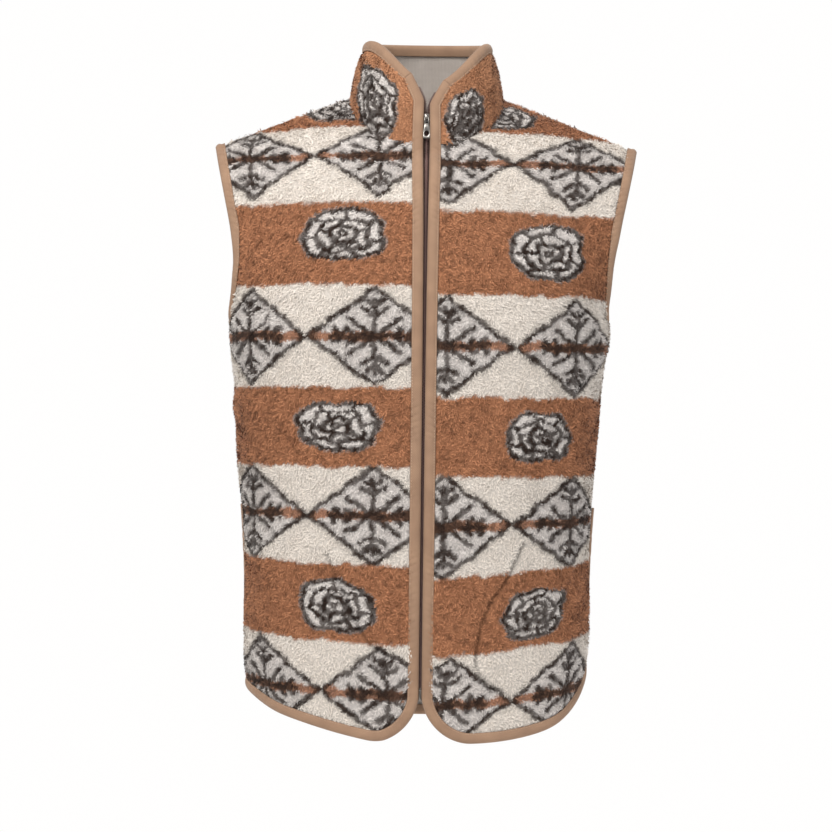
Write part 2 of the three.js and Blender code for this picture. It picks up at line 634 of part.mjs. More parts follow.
function frontPanel(side) {
  const wall = solidFrom(wallFrom([bodyGrid("front", side)]));
  const x = (value) => signOf(side) * value;
  const shape = new THREE.Shape();
  const past = 20; // how far the cut reaches beyond the cloth
  shape.moveTo(x(CORNER_X - past), HEM_Z - past);
  shape.lineTo(x(CORNER_CENTRE.x), HEM_Z - past);
  for (let i = CORNER_STEPS; i >= 0; i--) {
    const corner = cornerPoint((i / CORNER_STEPS) * 90 * DEGREE);
    shape.lineTo(x(corner.x), corner.z);
  }
  shape.lineTo(x(CORNER_X - past), CORNER_CENTRE.z);
  const cutter = new THREE.ExtrudeGeometry(shape, { depth: 120, bevelEnabled: false, curveSegments: 1 });
  cutter.deleteAttribute("normal");
  cutter.deleteAttribute("uv");
  cutter.rotateX(Math.PI / 2);
  cutter.translate(0, -50, 0);
  const merged = facingOut(mergeByPlace(cutter));
  return geometryOf(wall.subtract(solidFrom(merged)));
}

// Joins the corners of a mesh that lie in the same place.
function mergeByPlace(geometry) {
  const p = geometry.getAttribute("position");
  const known = new Map();
  const positions = [];
  const index = [];
  for (let i = 0; i < (geometry.index ? geometry.index.count : p.count); i++) {
    const at = geometry.index ? geometry.index.getX(i) : i;
    const key = [p.getX(at), p.getY(at), p.getZ(at)].map((c) => Math.round(c * 1000)).join();
    if (!known.has(key)) {
      known.set(key, positions.length / 3);
      positions.push(p.getX(at), p.getY(at), p.getZ(at));
    }
    index.push(known.get(key));
  }
  return geometryFrom(positions, index);
}

// Angles round the neck where the collar has its columns: those where the body's rows meet it.
const NECK_ANGLES = [
  ...ROWS.filter((row) => row >= FRONT_NECK_ROW - 1e-6).map((row) =>
    lerp(FRONT_ANGLE, NECK.shoulderAngle, (row - FRONT_NECK_ROW) / (1 - FRONT_NECK_ROW)),
  ),
  ...ROWS.filter((row) => row >= BACK_NECK_ROW - 1e-6 && row < 1)
    .map((row) => lerp(180, NECK.shoulderAngle, (row - BACK_NECK_ROW) / (1 - BACK_NECK_ROW)))
    .reverse(),
];
const COLLAR_SHARES = NECK_ANGLES.map((angle) => (angle - FRONT_ANGLE) / (180 - FRONT_ANGLE));
const COLLAR_UPS = [0, 0.17, 0.34, 0.5, 0.63, 0.76, 0.88, 1];

// The body's row that meets the collar at an angle round the neck.
function bodyRowAtAngle(angle) {
  const { shoulderAngle } = NECK;
  if (angle <= shoulderAngle) {
    const share = (angle - FRONT_ANGLE) / (shoulderAngle - FRONT_ANGLE);
    return { panel: "front", row: lerp(FRONT_NECK_ROW, 1, share) };
  }
  const share = (angle - shoulderAngle) / (180 - shoulderAngle);
  return { panel: "back", row: lerp(1, BACK_NECK_ROW, share) };
}

function collarGrid(side) {
  const front = Array.from({ length: 21 }, (_, i) => collarSheet(side, 0, i / 20));
  const top = Array.from({ length: 41 }, (_, i) => collarSheet(side, i / 40, 1));
  return COLLAR_UPS.map((up) =>
    COLLAR_SHARES.map((share) => {
      const point = collarSheet(side, share, up);
      let normal = collarNormal(side, share, up);
      if (up === 0) {
        const { panel, row } = bodyRowAtAngle(lerp(FRONT_ANGLE, 180, share));
        normal = seamNormal(panel, side, 0, row);
        point.z += SEAM_GAP;
      }
      return { point, normal, out: pileHeight(distanceToEdges(point, [front, top])), in: BACKING };
    }),
  );
}

// Places on a cloth where a tape can run: what the cloth is there, and how to step away from its edge.
function tapeStation(sheet, normalAt, u, v, along) {
  const point = sheet(u, v);
  const normal = normalAt(u, v);
  const outward = unit(along.clone().cross(normal));
  return { sheet, normalAt, u, v, point, normal, outward };
}

// The cloth's point at a distance in from a station's edge, found by stepping in the cloth's own shares.
function stepIn(station, distance, limits) {
  const { sheet, u, v } = station;
  const step = 0.002;
  const { low, high } = limits;
  const clampTo = (a, b) => [clamp(a, low[0], high[0]), clamp(b, low[1], high[1])];
  const origin = station.point;
  let place = [u, v];
  const target = origin.clone().addScaledVector(station.outward, -distance);
  for (let turn = 0; turn < 4; turn++) {
    const here = sheet(...place);
    const [ua, va] = clampTo(place[0] + step, place[1]);
    const [ub, vb] = clampTo(place[0] - step, place[1]);
    const [uc, vc] = clampTo(place[0], place[1] + step);
    const [ud, vd] = clampTo(place[0], place[1] - step);
    const du = sheet(ua, va).sub(sheet(ub, vb)).divideScalar(ua - ub);
    const dv = sheet(uc, vc).sub(sheet(ud, vd)).divideScalar(vc - vd);
    const miss = target.clone().sub(here);
    const [aa, ab, bb] = [du.dot(du), du.dot(dv), dv.dot(dv)];
    const [ra, rb] = [du.dot(miss), dv.dot(miss)];
    const det = aa * bb - ab * ab;
    place = clampTo(place[0] + (ra * bb - rb * ab) / det, place[1] + (rb * aa - ra * ab) / det);
  }
  return { point: sheet(...place), normal: station.normalAt(...place) };
}

// Section of a binding: distance in from the cloth's edge, and height over the backing.
// It goes out over the pile, round the edge and back along the wrong side.
const OVER = PILE_UNDER_TAPE + TAPE_GAP;
const UNDER = -BACKING - TAPE_GAP;
const BINDING_SECTION = [
  { inward: TAPE_WIDTH, height: OVER },
  { inward: TAPE_WIDTH - 0.5, height: OVER + TAPE * 0.8 },
  { inward: 5, height: OVER + TAPE * 1.4 },
  { inward: -TAPE_REACH + 1, height: OVER + TAPE * 0.7 },
  { inward: -TAPE_REACH, height: -0.6 },
  { inward: -TAPE_REACH + 1, height: UNDER - TAPE * 0.6 },
  { inward: TAPE_WIDTH - 0.5, height: UNDER - TAPE * 0.7 },
  { inward: TAPE_WIDTH, height: UNDER },
  { inward: -0.4, height: UNDER },
  { inward: -0.4, height: OVER },
];

const BODY_LIMITS = { low: [0, 0], high: [1, 1] };

function bindingRing(station) {
  return BINDING_SECTION.map(({ inward, height }) => {
    if (inward <= 0)
      return station.point
        .clone()
        .addScaledVector(station.outward, -inward)
        .addScaledVector(station.normal, height);
    const found = stepIn(station, inward, station.limits || BODY_LIMITS);
    return found.point.addScaledVector(found.normal, height);
  });
}

// Direction along a line of points at one of them.
function alongLine(points, i, isLoop = false) {
  const n = points.length;
  const before = isLoop ? points[(i + n - 1) % n] : points[Math.max(i - 1, 0)];
  const after = isLoop ? points[(i + 1) % n] : points[Math.min(i + 1, n - 1)];
  return unit(after.clone().sub(before));
}

// Binding stations from places on cloth. flip turns the side on which the tape stands past the edge.
function stationsFrom(places, flip, isLoop = false) {
  const points = places.map((p) => p.sheet(p.u, p.v));
  return places.map((p, i) => {
    const along = alongLine(points, i, isLoop);
    if (flip) along.negate();
    const station = tapeStation(p.sheet, p.normalAt, p.u, p.v, along);
    station.limits = p.limits;
    return station;
  });
}

const bodyPlace = (panel, side) => (place) => ({
  sheet: (u, v) => bodySheet(panel, side, u, v),
  normalAt: (u, v) => bodyNormal(panel, side, u, v),
  u: place.round,
  v: place.row,
  limits: { low: [panel === "back" ? -1 : 0, 0], high: [1, 1] },
});
const collarPlace = (side) => (place) => ({
  sheet: (u, v) => collarSheet(side, u, v),
  normalAt: (u, v) => collarNormal(side, u, v),
  u: place.share,
  v: place.up,
  limits: { low: [0, 0], high: [1, 1] },
});

// Places up the front edge of the collar, by their shares of its height.
const collarEdgePlaces = (side, ups) => ups.map((up) => collarPlace(side)({ share: 0, up }));

// The place where the front edge crosses the seam between body and collar.
function neckCrossing(side) {
  const place = bodyPlace("front", side)({ round: 0, row: FRONT_NECK_ROW });
  place.normalAt = () => seamNormal("front", side, 0, FRONT_NECK_ROW);
  return place;
}

// Stations of the whole bound edge of one side: hem, lower corner, zip edge, collar front, collar top.
// Those after the collar's corner belong to the collar's own tape.
function boundRun(side) {
  const body = frontEdgePlaces(side).filter((p) => p.row < FRONT_NECK_ROW - 1e-6);
  body[0] = { ...body[0], round: 1 - TAPE_END / HALF_GIRTH };
  const front = [
    ...body.map(bodyPlace("front", side)),
    neckCrossing(side),
    ...collarEdgePlaces(side, [0.06, ...COLLAR_UPS.slice(1)]),
  ];
  const top = COLLAR_SHARES.slice(1).map((share) => collarPlace(side)({ share, up: 1 }));
  const stations = stationsFrom([...front, ...top], side === "left");
  levelEnd(stations[0], side);
  const middle = stations[stations.length - 1];
  middle.outward = unit(middle.outward.setX(0));
  return { stations, corner: front.length - 1 };
}

// A station moved a little along its edge, to leave a gap to the tape that starts there.
function shifted(station, towards) {
  const way = unit(towards.point.clone().sub(station.point));
  return { ...station, point: station.point.clone().addScaledVector(way, SEAM_GAP / 2) };
}

// Binding of one front: hem, lower corner, zip edge and the collar's front edge.
function frontBinding(side) {
  const { stations, corner } = boundRun(side);
  const own = stations.slice(0, corner);
  return ringsSolid([...own, shifted(stations[corner], own[corner - 1])].map(bindingRing));
}

// Turns the end of a hem tape so that it is cut square to the side seam.
function levelEnd(station, side) {
  station.normal = new THREE.Vector3(signOf(side), 0, 0);
  station.outward = new THREE.Vector3(0, 0, -1);
}

// Binding of the collar's top edge, from one front corner round the back to the other.
function collarBinding() {
  const half = (side) => {
    const { stations, corner } = boundRun(side);
    return [shifted(stations[corner], stations[corner + 1]), ...stations.slice(corner + 1)];
  };
  return ringsSolid([...half("left"), ...half("right").slice(0, -1).reverse()].map(bindingRing));
}

// Binding of the back's hem, from side seam to side seam.
function backHemBinding() {
  const half = (side) => {
    const columns = columnsOf("back", side, 0);
    columns[columns.length - 1] = 1 - TAPE_END / HALF_GIRTH;
    return columns.map((round) => bodyPlace("back", side)({ round, row: 0 }));
  };
  const places = [...half("left").reverse(), ...half("right").slice(1)];
  const stations = stationsFrom(places, false);
  for (const station of stations) if (station.outward.z > 0) station.outward.negate();
  levelEnd(stations[0], "left");
  levelEnd(stations[stations.length - 1], "right");
  return ringsSolid(stations.map(bindingRing));
}

// Binding of one armhole, as a closed loop up the front edge and down the back edge.
function armholeBinding(side) {
  const rows = ROWS.filter((row) => row > UNDERARM_ROW + 1e-6 && row < 1);
  const front = rows.map((row) => bodyPlace("front", side)({ round: 1, row }));
  const back = rows.map((row) => bodyPlace("back", side)({ round: 1, row })).reverse();
  const underarm = bodyPlace("front", side)({ round: 1, row: UNDERARM_ROW });
  const top = bodyPlace("front", side)({ round: 1, row: 1 });
  const stations = stationsFrom([underarm, ...front, top, ...back], side === "right", true);
  return ringsSolid(stations.map(bindingRing), true);
}

// Row whose outer end is at a height.
function rowAtSide(side, z) {
  const height = z - HEM_Z;
  if (height >= HEM_LEVEL_HEIGHT) return rowAtHeight(height);
  const rise = HEM_RISE[side].full;
  return rowAtHeight((height - rise) / (1 - rise / HEM_LEVEL_HEIGHT));
}

// Tape of a pocket opening: a flat strip on the front panel beside the side seam.
function pocketTape(side) {
  const count = 8;
  const rings = [];
  for (let i = 0; i <= count; i++) {
    const row = rowAtSide(side, lerp(POCKET.top, POCKET.bottom, i / count));
    const sheetAt = (round) => bodySheet("front", side, round, row);
    const at = (distance, height) => {
      const round = shareAt(sheetAt, -distance).share;
      return sheetAt(round).addScaledVector(bodyNormal("front", side, round, row), height);
    };
    const base = PILE + POCKET.gap;
    rings.push([
      at(POCKET.fromSeam, base),
      at(POCKET.fromSeam + 0.8, base + POCKET.thickness * 0.8),
      at(POCKET.fromSeam + POCKET.width / 2, base + POCKET.thickness),
      at(POCKET.fromSeam + POCKET.width - 0.8, base + POCKET.thickness * 0.8),
      at(POCKET.fromSeam + POCKET.width, base),
      at(POCKET.fromSeam + POCKET.width / 2, base),
    ]);
  }
  return ringsSolid(rings);
}

// Stations up one front edge for the zip, from a lowest height to the top of the zip.
function zipStations(side, bottom) {
  const rows = ROWS.filter((row) => {
    const z = levelOf(row, FRONT_NECK_ROW, FRONT_NECK_Z);
    return z > bottom + 5 && row < FRONT_NECK_ROW - 1e-6;
  });
  const lowest = ((bottom - HEM_Z) / (UNDERARM_Z - HEM_Z)) * UNDERARM_ROW;
  const heights = [...ZIP_COLLAR_HEIGHTS, ZIP_PARTING.from, ZIP_PARTING.to];
  const flaring = COLLAR_UPS.filter((up) => up >= COLLAR_FLARE.from && up < ZIP_TOP_SHARE);
  const ups = [...heights.map((z) => collarShareAt(side, z)), ...flaring];
  const places = [
    ...[lowest, ...rows].map((row) => bodyPlace("front", side)({ round: 0, row })),
    neckCrossing(side),
    ...collarEdgePlaces(side, [...ups, ZIP_TOP_SHARE]),
  ];
  const stations = stationsFrom(places, side === "left");
  let edge = 0;
  for (const station of stations) {
    if (station.point.z <= ZIP_PARTING.to + 1e-6) {
      edge = Math.abs(station.point.x);
      station.normal = unit(station.normal.setX(0));
      station.outward = new THREE.Vector3(-signOf(side), 0, 0);
    }
    station.edge = edge; // from the zip's middle to the cloth's edge, kept where the zip is open
  }
  return stations;
}

// A strip along one side of the zip, between two distances from the zip's centre line.
function zipStrip(side, inner, outer, front, back, bottom) {
  const rings = zipStations(side, bottom).map((station) => {
    const z = station.point.z;
    const { from, to, distance: apart } = ZIP_PARTING;
    const parted = apart * smooth((z - from) / (to - from));
    const at = (distance, height) => {
      const inward = distance + parted - station.edge;
      if (inward > 0) {
        const found = stepIn(station, inward, station.limits);
        return found.point.addScaledVector(found.normal, height);
      }
      const beside = station.point.clone().addScaledVector(station.outward, -inward);
      return beside.addScaledVector(station.normal, height);
    };
    return [at(inner, front), at(outer, front), at(outer, back), at(inner, back)];
  });
  return ringsSolid(rings);
}

// The slider's place on the middle line of the collar's front, which leans back as it rises.
function collarShareAt(side, z) {
  return (z - FRONT_NECK_Z) / (COLLAR_CORNER[side].z - FRONT_NECK_Z);
}
const zipDepthAt = (z) => {
  const depths = ["left", "right"].map((side) => collarSheet(side, 0, collarShareAt(side, z)).y);
  return (depths[0] + depths[1]) / 2;
};
const SLIDER_TOP = SLIDER.middle + SLIDER.length / 2;
const SLIDER_BOTTOM = SLIDER.middle - SLIDER.length / 2;
const LEAN = Math.atan2(zipDepthAt(SLIDER_TOP) - zipDepthAt(SLIDER_BOTTOM), SLIDER.length);
const SLIDER_Y = zipDepthAt(SLIDER.middle);

// Leans a piece that is made upright round the slider's middle, and moves it there.
const onZipLine = (geometry) => geometry.rotateX(-LEAN).translate(0, SLIDER_Y, SLIDER.middle);

// A box given by its half width, its heights over the cloth, and its bottom and top.
function zipBlock({ half, front, back, bottom, top }) {
  const block = new THREE.BoxGeometry(2 * half, front - back, top - bottom);
  return mergeByPlace(block.translate(0, -(front + back) / 2, (bottom + top) / 2));
}

const PLATE_FRONT = CHAIN.front + SLIDER.gap + SLIDER.plate;
const PIN_HEIGHT = PLATE_FRONT + BRIDGE.clear / 2;

// Slider: a plate before and a plate behind the chain, the post that parts it, and the bridge for the pull.
function sliderBody() {
  const half = SLIDER.length / 2;
  const plateBack = CHAIN.back - SLIDER.gap - SLIDER.plate;
  const barBack = PLATE_FRONT + BRIDGE.clear;
  const barFront = barBack + BRIDGE.bar;
  const reach = BRIDGE.length / 2;
  const postFoot = half - SLIDER.postHeight;
  const blocks = [
    { half: SLIDER.half, front: PLATE_FRONT, back: CHAIN.front + SLIDER.gap, bottom: -half, top: half },
    { half: SLIDER.half, front: CHAIN.back - SLIDER.gap, back: plateBack, bottom: -half, top: half },
    { half: SLIDER.postHalf, front: PLATE_FRONT, back: plateBack, bottom: postFoot, top: half },
    { half: BRIDGE.half, front: barFront, back: barBack, bottom: -reach, top: reach },
    { half: BRIDGE.half, front: barFront, back: PLATE_FRONT, bottom: reach - BRIDGE.leg, top: reach },
    { half: BRIDGE.half, front: barFront, back: PLATE_FRONT, bottom: -reach, top: -reach + BRIDGE.leg },
  ];
  return onZipLine(geometryOf(wasm.Manifold.union(blocks.map((block) => solidFrom(zipBlock(block))))));
}

// Pull tab: a pin through the bridge, two arms and a plate with a hole, resting along the zip.
function pullTab() {
  const { armInner, armOuter, armLength, pinRadius, length, bottomHalf, chamfer } = PULL;
  const rightHalf = [
    [bottomHalf - chamfer, -length],
    [bottomHalf, -length + chamfer],
    [armOuter, -armLength],
    [armOuter, pinRadius],
    [armInner, pinRadius],
    [armInner, -armLength],
  ];
  const leftHalf = rightHalf.map(([x, z]) => [-x, z]).reverse();
  const around = [...rightHalf, ...leftHalf];
  const outline = new THREE.Shape(around.map(([x, z]) => new THREE.Vector2(x, z)));
  const hole = new THREE.Path();
  const holeMiddle = -armLength - PULL.holeTop - PULL.holeLength / 2;
  hole.absellipse(0, holeMiddle, PULL.holeHalf, PULL.holeLength / 2, 0, 2 * Math.PI);
  outline.holes.push(hole);
  const solidity = { depth: PULL.thickness, bevelEnabled: false, curveSegments: 8 };
  const plate = new THREE.ExtrudeGeometry(outline, solidity);
  plate.rotateX(Math.PI / 2).translate(0, PULL.thickness / 2, 0);
  const pin = new THREE.CylinderGeometry(pinRadius, pinRadius, 2 * armInner + PULL.pinOverlap, 12);
  pin.rotateZ(Math.PI / 2);
  const solids = [plate, pin].map((piece) => solidFrom(facingOut(mergeByPlace(piece))));
  return onZipLine(geometryOf(wasm.Manifold.union(solids)).translate(0, -PIN_HEIGHT, 0));
}

// Bottom box, where the two sides of the open-ended zip are joined.
function bottomBox() {
  return zipBlock(BOX).translate(0, -lookUp(TRUNK, "z", BOX.top).front, 0);
}

const group = new THREE.Group();
const MATERIALS = {
  wool: new THREE.MeshStandardMaterial({ color: 0xc9a48c, roughness: 1, metalness: 0 }),
  binding: new THREE.MeshStandardMaterial({ color: 0xb99a7c, roughness: 0.8, metalness: 0 }),
  zipTape: new THREE.MeshStandardMaterial({ color: 0x3b2a26, roughness: 0.8, metalness: 0 }),
  zipMetal: new THREE.MeshStandardMaterial({ color: 0x9a9692, roughness: 0.3, metalness: 1 }),
};

function add(name, geometry, material) {
  const mesh = new THREE.Mesh(geometry, material);
  mesh.name = name;
  group.add(mesh);
}

for (const side of ["left", "right"]) {
  add("front_" + side, frontPanel(side), MATERIALS.wool);
  add("binding_front_" + side, frontBinding(side), MATERIALS.binding);
  add("binding_armhole_" + side, armholeBinding(side), MATERIALS.binding);
  add("pocket_tape_" + side, pocketTape(side), MATERIALS.binding);
  add(
    "zip_chain_" + side,
    zipStrip(side, CHAIN.inner, CHAIN.outer, CHAIN.front, CHAIN.back, CHAIN.bottom),
    MATERIALS.zipTape,
  );
  add(
    "zip_tape_" + side,
    zipStrip(side, ZIP_TAPE.inner, ZIP_TAPE.outer, ZIP_TAPE.front, ZIP_TAPE.back, ZIP_TAPE.bottom),
    MATERIALS.zipTape,
  );
}
add("back", wallFrom([bodyGrid("back", "left"), bodyGrid("back", "right")]), MATERIALS.wool);
add("collar", wallFrom([collarGrid("left"), collarGrid("right")]), MATERIALS.wool);
add("binding_collar", collarBinding(), MATERIALS.binding);
add("binding_hem_back", backHemBinding(), MATERIALS.binding);
add("zip_slider", sliderBody(), MATERIALS.zipMetal);
add("pull_tab", pullTab(), MATERIALS.zipMetal);
add("zip_box", bottomBox(), MATERIALS.zipMetal);

export default group;
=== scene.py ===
"""A wool pile vest with a stand collar and a front zip, open and hollow as it is when worn.

The cloth's shape is worked out in millimetres by the same formulas as the part's solids, then put into
meshes in metres. +Z is up, -Y is the front and +X is the wearer's left. A body panel has two numbers for
each place on its cloth: share, from 0 at its inner end (the zip's edge, the centre of the back or the neck
seam) to 1 at its outer end (the side seam or the armhole), and row, from 0 at the hem to 1 at the
shoulder seam. On the collar they are share, from a front edge to the centre back, and up.
"""

import math

import bmesh
import bpy
import numpy as np
from mathutils import Matrix, Vector


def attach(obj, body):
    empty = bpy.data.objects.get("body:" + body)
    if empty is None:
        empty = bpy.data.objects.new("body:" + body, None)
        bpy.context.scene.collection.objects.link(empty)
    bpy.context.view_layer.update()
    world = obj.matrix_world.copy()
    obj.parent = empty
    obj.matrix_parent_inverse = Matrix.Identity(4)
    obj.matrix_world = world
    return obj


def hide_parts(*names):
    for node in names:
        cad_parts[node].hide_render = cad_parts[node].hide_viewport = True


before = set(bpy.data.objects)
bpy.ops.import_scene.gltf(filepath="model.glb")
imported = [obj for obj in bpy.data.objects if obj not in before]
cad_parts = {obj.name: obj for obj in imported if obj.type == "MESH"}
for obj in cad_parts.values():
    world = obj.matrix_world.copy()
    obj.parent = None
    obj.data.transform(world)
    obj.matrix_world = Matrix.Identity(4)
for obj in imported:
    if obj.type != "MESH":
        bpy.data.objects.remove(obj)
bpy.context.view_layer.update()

MM = 0.001
LEFT, RIGHT = 1, -1
SIDES = {"left": LEFT, "right": RIGHT}


def table(columns, rows):
    """Rows of numbers under named columns, as one array for each column."""
    return dict(zip(columns.split(), np.array(rows, float).T))


# Cloth and tape thicknesses
BACKING = 2.0  # from the root of the pile to the wrong side
PILE_BASE = 2.1  # height of the dense foot of the pile, under the loose ends
PILE_SQUASHED = 0.8  # pile under a sewn-on tape
SEAM_GAP = 0.3  # between two pieces that are sewn to each other
TAPE_REACH = 2.3  # how far a binding stands past the cloth's edge
TAPER_FROM, TAPER_TO = 6.8, 12.5  # from a bound edge, where the pile begins to rise and where it is full

# Heights of the body and the rows that they have
HEM_Z, UNDERARM_Z, FRONT_NECK_Z, BACK_NECK_Z = -688.0, -246.0, -60.0, -4.0
UNDERARM_ROW, FRONT_NECK_ROW, BACK_NECK_ROW = 0.6, 0.84, 0.9
HEM_CORNER_RADIUS = 50.0
HEM_LEVEL_HEIGHT = 190.0  # above this height over the hem, the cloth's rows are level again
# How far the hem climbs at each side seam, over what length, and how its curve starts and ends
HEM_RISE = {LEFT: (80.0, 215.0, 2.05, 0.85), RIGHT: (48.0, 220.0, 1.15, 1.25)}
HALF_GIRTH = 245.0  # from the centre line to the side seam
FOLD_FADE = 0.12
TRUNK_FLATNESS = 1.6

# Horizontal sections of the trunk, from the hem up
TRUNK = table("z half_width front back square shift", [
    (-688, 182, 113, 117, 0.92, -4.5),
    (-640, 184, 114, 119, 0.91, -5),
    (-550, 184, 115, 115, 0.9, -5),
    (-460, 187, 117, 107, 0.88, -6),
    (-400, 192.5, 119, 103, 0.86, -7),
    (-330, 197, 122, 104, 0.84, -6),
    (-246, 204, 127, 112, 0.8, -6),
    (-200, 204, 127, 116, 0.8, -6),
    (-150, 204, 121, 115, 0.84, -3.5),
    (-100, 204, 106, 106, 0.88, -1),
    (-60, 204, 83, 88, 0.95, 0),
    (-4, 204, 70, 67, 1, 0),
])

# Edge of the armhole from the underarm to the shoulder's tip. wrap is the part of a quarter turn, in
# degrees, that a row of cloth goes round the body before it ends there.
ARMHOLE_FRONT = table("way x y z wrap", [
    (0, 204, 0, UNDERARM_Z, 90),
    (0.1, 203.5, -20, -241, 82),
    (0.23, 201.5, -39, -223, 74),
    (0.4, 201, -52, -190, 66),
    (0.58, 206, -54, -150, 60),
    (0.74, 214, -45, -112, 54),
    (0.88, 222, -26, -79, 44),
    (1, 228, 0, -56, 30),
])
ARMHOLE_BACK = table("way x y z wrap", [
    (0, 204, 0, UNDERARM_Z, 90),
    (0.1, 203.5, 19, -241, 82),
    (0.23, 203, 36, -223, 74),
    (0.4, 204, 47, -190, 66),
    (0.58, 209, 49, -150, 60),
    (0.74, 216, 42, -112, 54),
    (0.88, 223, 25, -79, 44),
    (1, 228, 0, -56, 30),
])

# Half of the gap between the two front bindings
ZIP_GAP = table("z half", [(-688, 3.2), (-600, 2.8), (-300, 2.9), (-160, 3.5), (-80, 4.6), (-30, 5.4)])

# Seam between body and collar, and the collar's top edge
NECK_HALF_WIDTH, NECK_CENTRE_Y, NECK_DEPTH, SHOULDER_ANGLE = 81.0, -8.0, 75.0, 96.2
NECK_BLEND = 20.0
COLLAR_HALF_WIDTH, COLLAR_CENTRE_Y, COLLAR_DEPTH = 66.0, -13.0, 60.0
COLLAR_SIDE_Z, COLLAR_BACK_Z, COLLAR_BULGE = 55.0, 64.0, 2.0
COLLAR_CORNER = {LEFT: (17.0, 8.0, 2.8), RIGHT: (16.5, 15.0, 4.2)}  # angle, height, how fast the edge climbs
FLARE_FROM, FLARE_POWER = 0.63, 1.2

# Folds of the cloth, the large ones as in the solids and then the finer ones. round is the share of the
# way to the side seam, turn the way it runs in degrees, depth how far it goes out, or in if negative.
FOLD_COLUMNS = "side round z long wide turn depth"
FOLDS = {
    "front": table(FOLD_COLUMNS, [
        (LEFT, 0.86, -308, 85, 15, 8, -4.5),
        (RIGHT, 0.88, -305, 75, 15, -10, -5),
        (LEFT, 0.8, -272, 70, 16, 24, 3.5),
        (RIGHT, 0.84, -340, 80, 18, 6, 3.5),
        (LEFT, 0.55, -640, 60, 26, 70, 4),
        (RIGHT, 0.5, -632, 60, 28, -66, 3.5),
        (LEFT, 0.9, -565, 60, 26, 88, 4),
        (RIGHT, 0.9, -580, 80, 24, 92, 2.5),
        (LEFT, 0.42, -470, 120, 20, 84, -2.5),
        (RIGHT, 0.4, -480, 120, 20, 97, -2.5),
        (LEFT, 0.5, -128, 60, 26, -38, 1.5),
        (RIGHT, 0.5, -128, 60, 26, 38, 1.5),
        (LEFT, 0.7, -520, 45, 10, 62, -1.3),
        (LEFT, 0.3, -300, 60, 13, 12, -1.0),
        (LEFT, 0.62, -388, 55, 12, -16, -1.2),
        (LEFT, 0.22, -610, 42, 12, 74, 1.2),
        (RIGHT, 0.68, -420, 60, 12, 14, -1.3),
        (RIGHT, 0.28, -560, 48, 12, 102, 1.1),
        (RIGHT, 0.6, -250, 55, 12, -22, -1.1),
        (RIGHT, 0.22, -350, 60, 12, 80, -0.9),
    ]),
    "back": table(FOLD_COLUMNS, [
        (LEFT, 0.5, -420, 110, 22, 78, -4),
        (RIGHT, 0.46, -430, 120, 22, 102, -4),
        (LEFT, 0.82, -318, 75, 17, 12, -4.5),
        (RIGHT, 0.8, -325, 80, 17, -9, -4.5),
        (LEFT, 0.2, -380, 60, 18, 5, -3),
        (RIGHT, 0.3, -165, 70, 28, 25, 1.5),
        (LEFT, 0.34, -170, 70, 28, -25, 1.5),
        (RIGHT, 0.62, -560, 55, 13, 76, 1.4),
        (LEFT, 0.66, -520, 60, 12, 98, -1.3),
        (LEFT, 0.28, -600, 50, 12, 84, 1.2),
        (RIGHT, 0.3, -300, 60, 12, -14, -1.1),
        (LEFT, 0.6, -255, 60, 12, 18, -1.1),
    ]),
}


def lerp(a, b, t):
    return a + (b - a) * t


def smooth(t):
    """0 to 1 with level ends."""
    t = np.clip(t, 0, 1)
    return t * t * (3 - 2 * t)


def unit(v):
    return v / np.maximum(np.linalg.norm(v, axis=-1, keepdims=True), 1e-9)


def look_up(rows, key, at):
    """Cubic through a table's rows. A column's slope at a row is the harmonic mean of the slopes on its
    two sides, or level where the column turns, so that nothing overshoots."""
    x = rows[key]
    at = np.clip(at, x[0], x[-1])
    i = np.clip(np.searchsorted(x, at, side="right") - 1, 0, len(x) - 2)
    h = x[i + 1] - x[i]
    f = (at - x[i]) / h
    found = {}
    for name, y in rows.items():
        step = np.diff(y) / np.diff(x)
        both = step[:-1] * step[1:]
        mean = np.where(both > 0, 2 * both / np.where(both > 0, step[:-1] + step[1:], 1), 0)
        slope = np.concatenate([step[:1], mean, step[-1:]])
        rise = slope[i] * h * (f**3 - 2 * f**2 + f) + slope[i + 1] * h * (f**3 - f**2)
        found[name] = y[i] * (2 * f**3 - 3 * f**2 + 1) + y[i + 1] * (3 * f**2 - 2 * f**3) + rise
    return found


def front_edge_x(z):
    return look_up(ZIP_GAP, "z", z)["half"] + TAPE_REACH


CORNER_X = front_edge_x(np.array(HEM_Z + HEM_CORNER_RADIUS))
FRONT_ANGLE = math.degrees(math.asin(front_edge_x(np.array(FRONT_NECK_Z)) / NECK_HALF_WIDTH))


def neck_seam(angle):
    """Seam between body and collar, on the wearer's left: an ellipse round the neck that drops to the
    front as a cosine and to the back as a smooth step. angle is in degrees from the centre front."""
    a = np.radians(angle)
    to_shoulder = np.radians(np.clip(angle / SHOULDER_ANGLE, 0, 1) * 90)
    past = np.clip((angle - SHOULDER_ANGLE) / (180 - SHOULDER_ANGLE), 0, 1)
    drop = np.where(angle < SHOULDER_ANGLE, FRONT_NECK_Z * np.maximum(np.cos(to_shoulder), 0) ** 1.1, 0)
    x, y = NECK_HALF_WIDTH * np.sin(a), NECK_CENTRE_Y - NECK_DEPTH * np.cos(a)
    return np.stack([x, y, drop + BACK_NECK_Z * smooth(past)], -1)


def level_of(row, neck_row, neck_z):
    below = lerp(HEM_Z, UNDERARM_Z, row / UNDERARM_ROW)
    above = lerp(UNDERARM_Z, neck_z, (row - UNDERARM_ROW) / (neck_row - UNDERARM_ROW))
    return np.where(row <= UNDERARM_ROW, below, above)


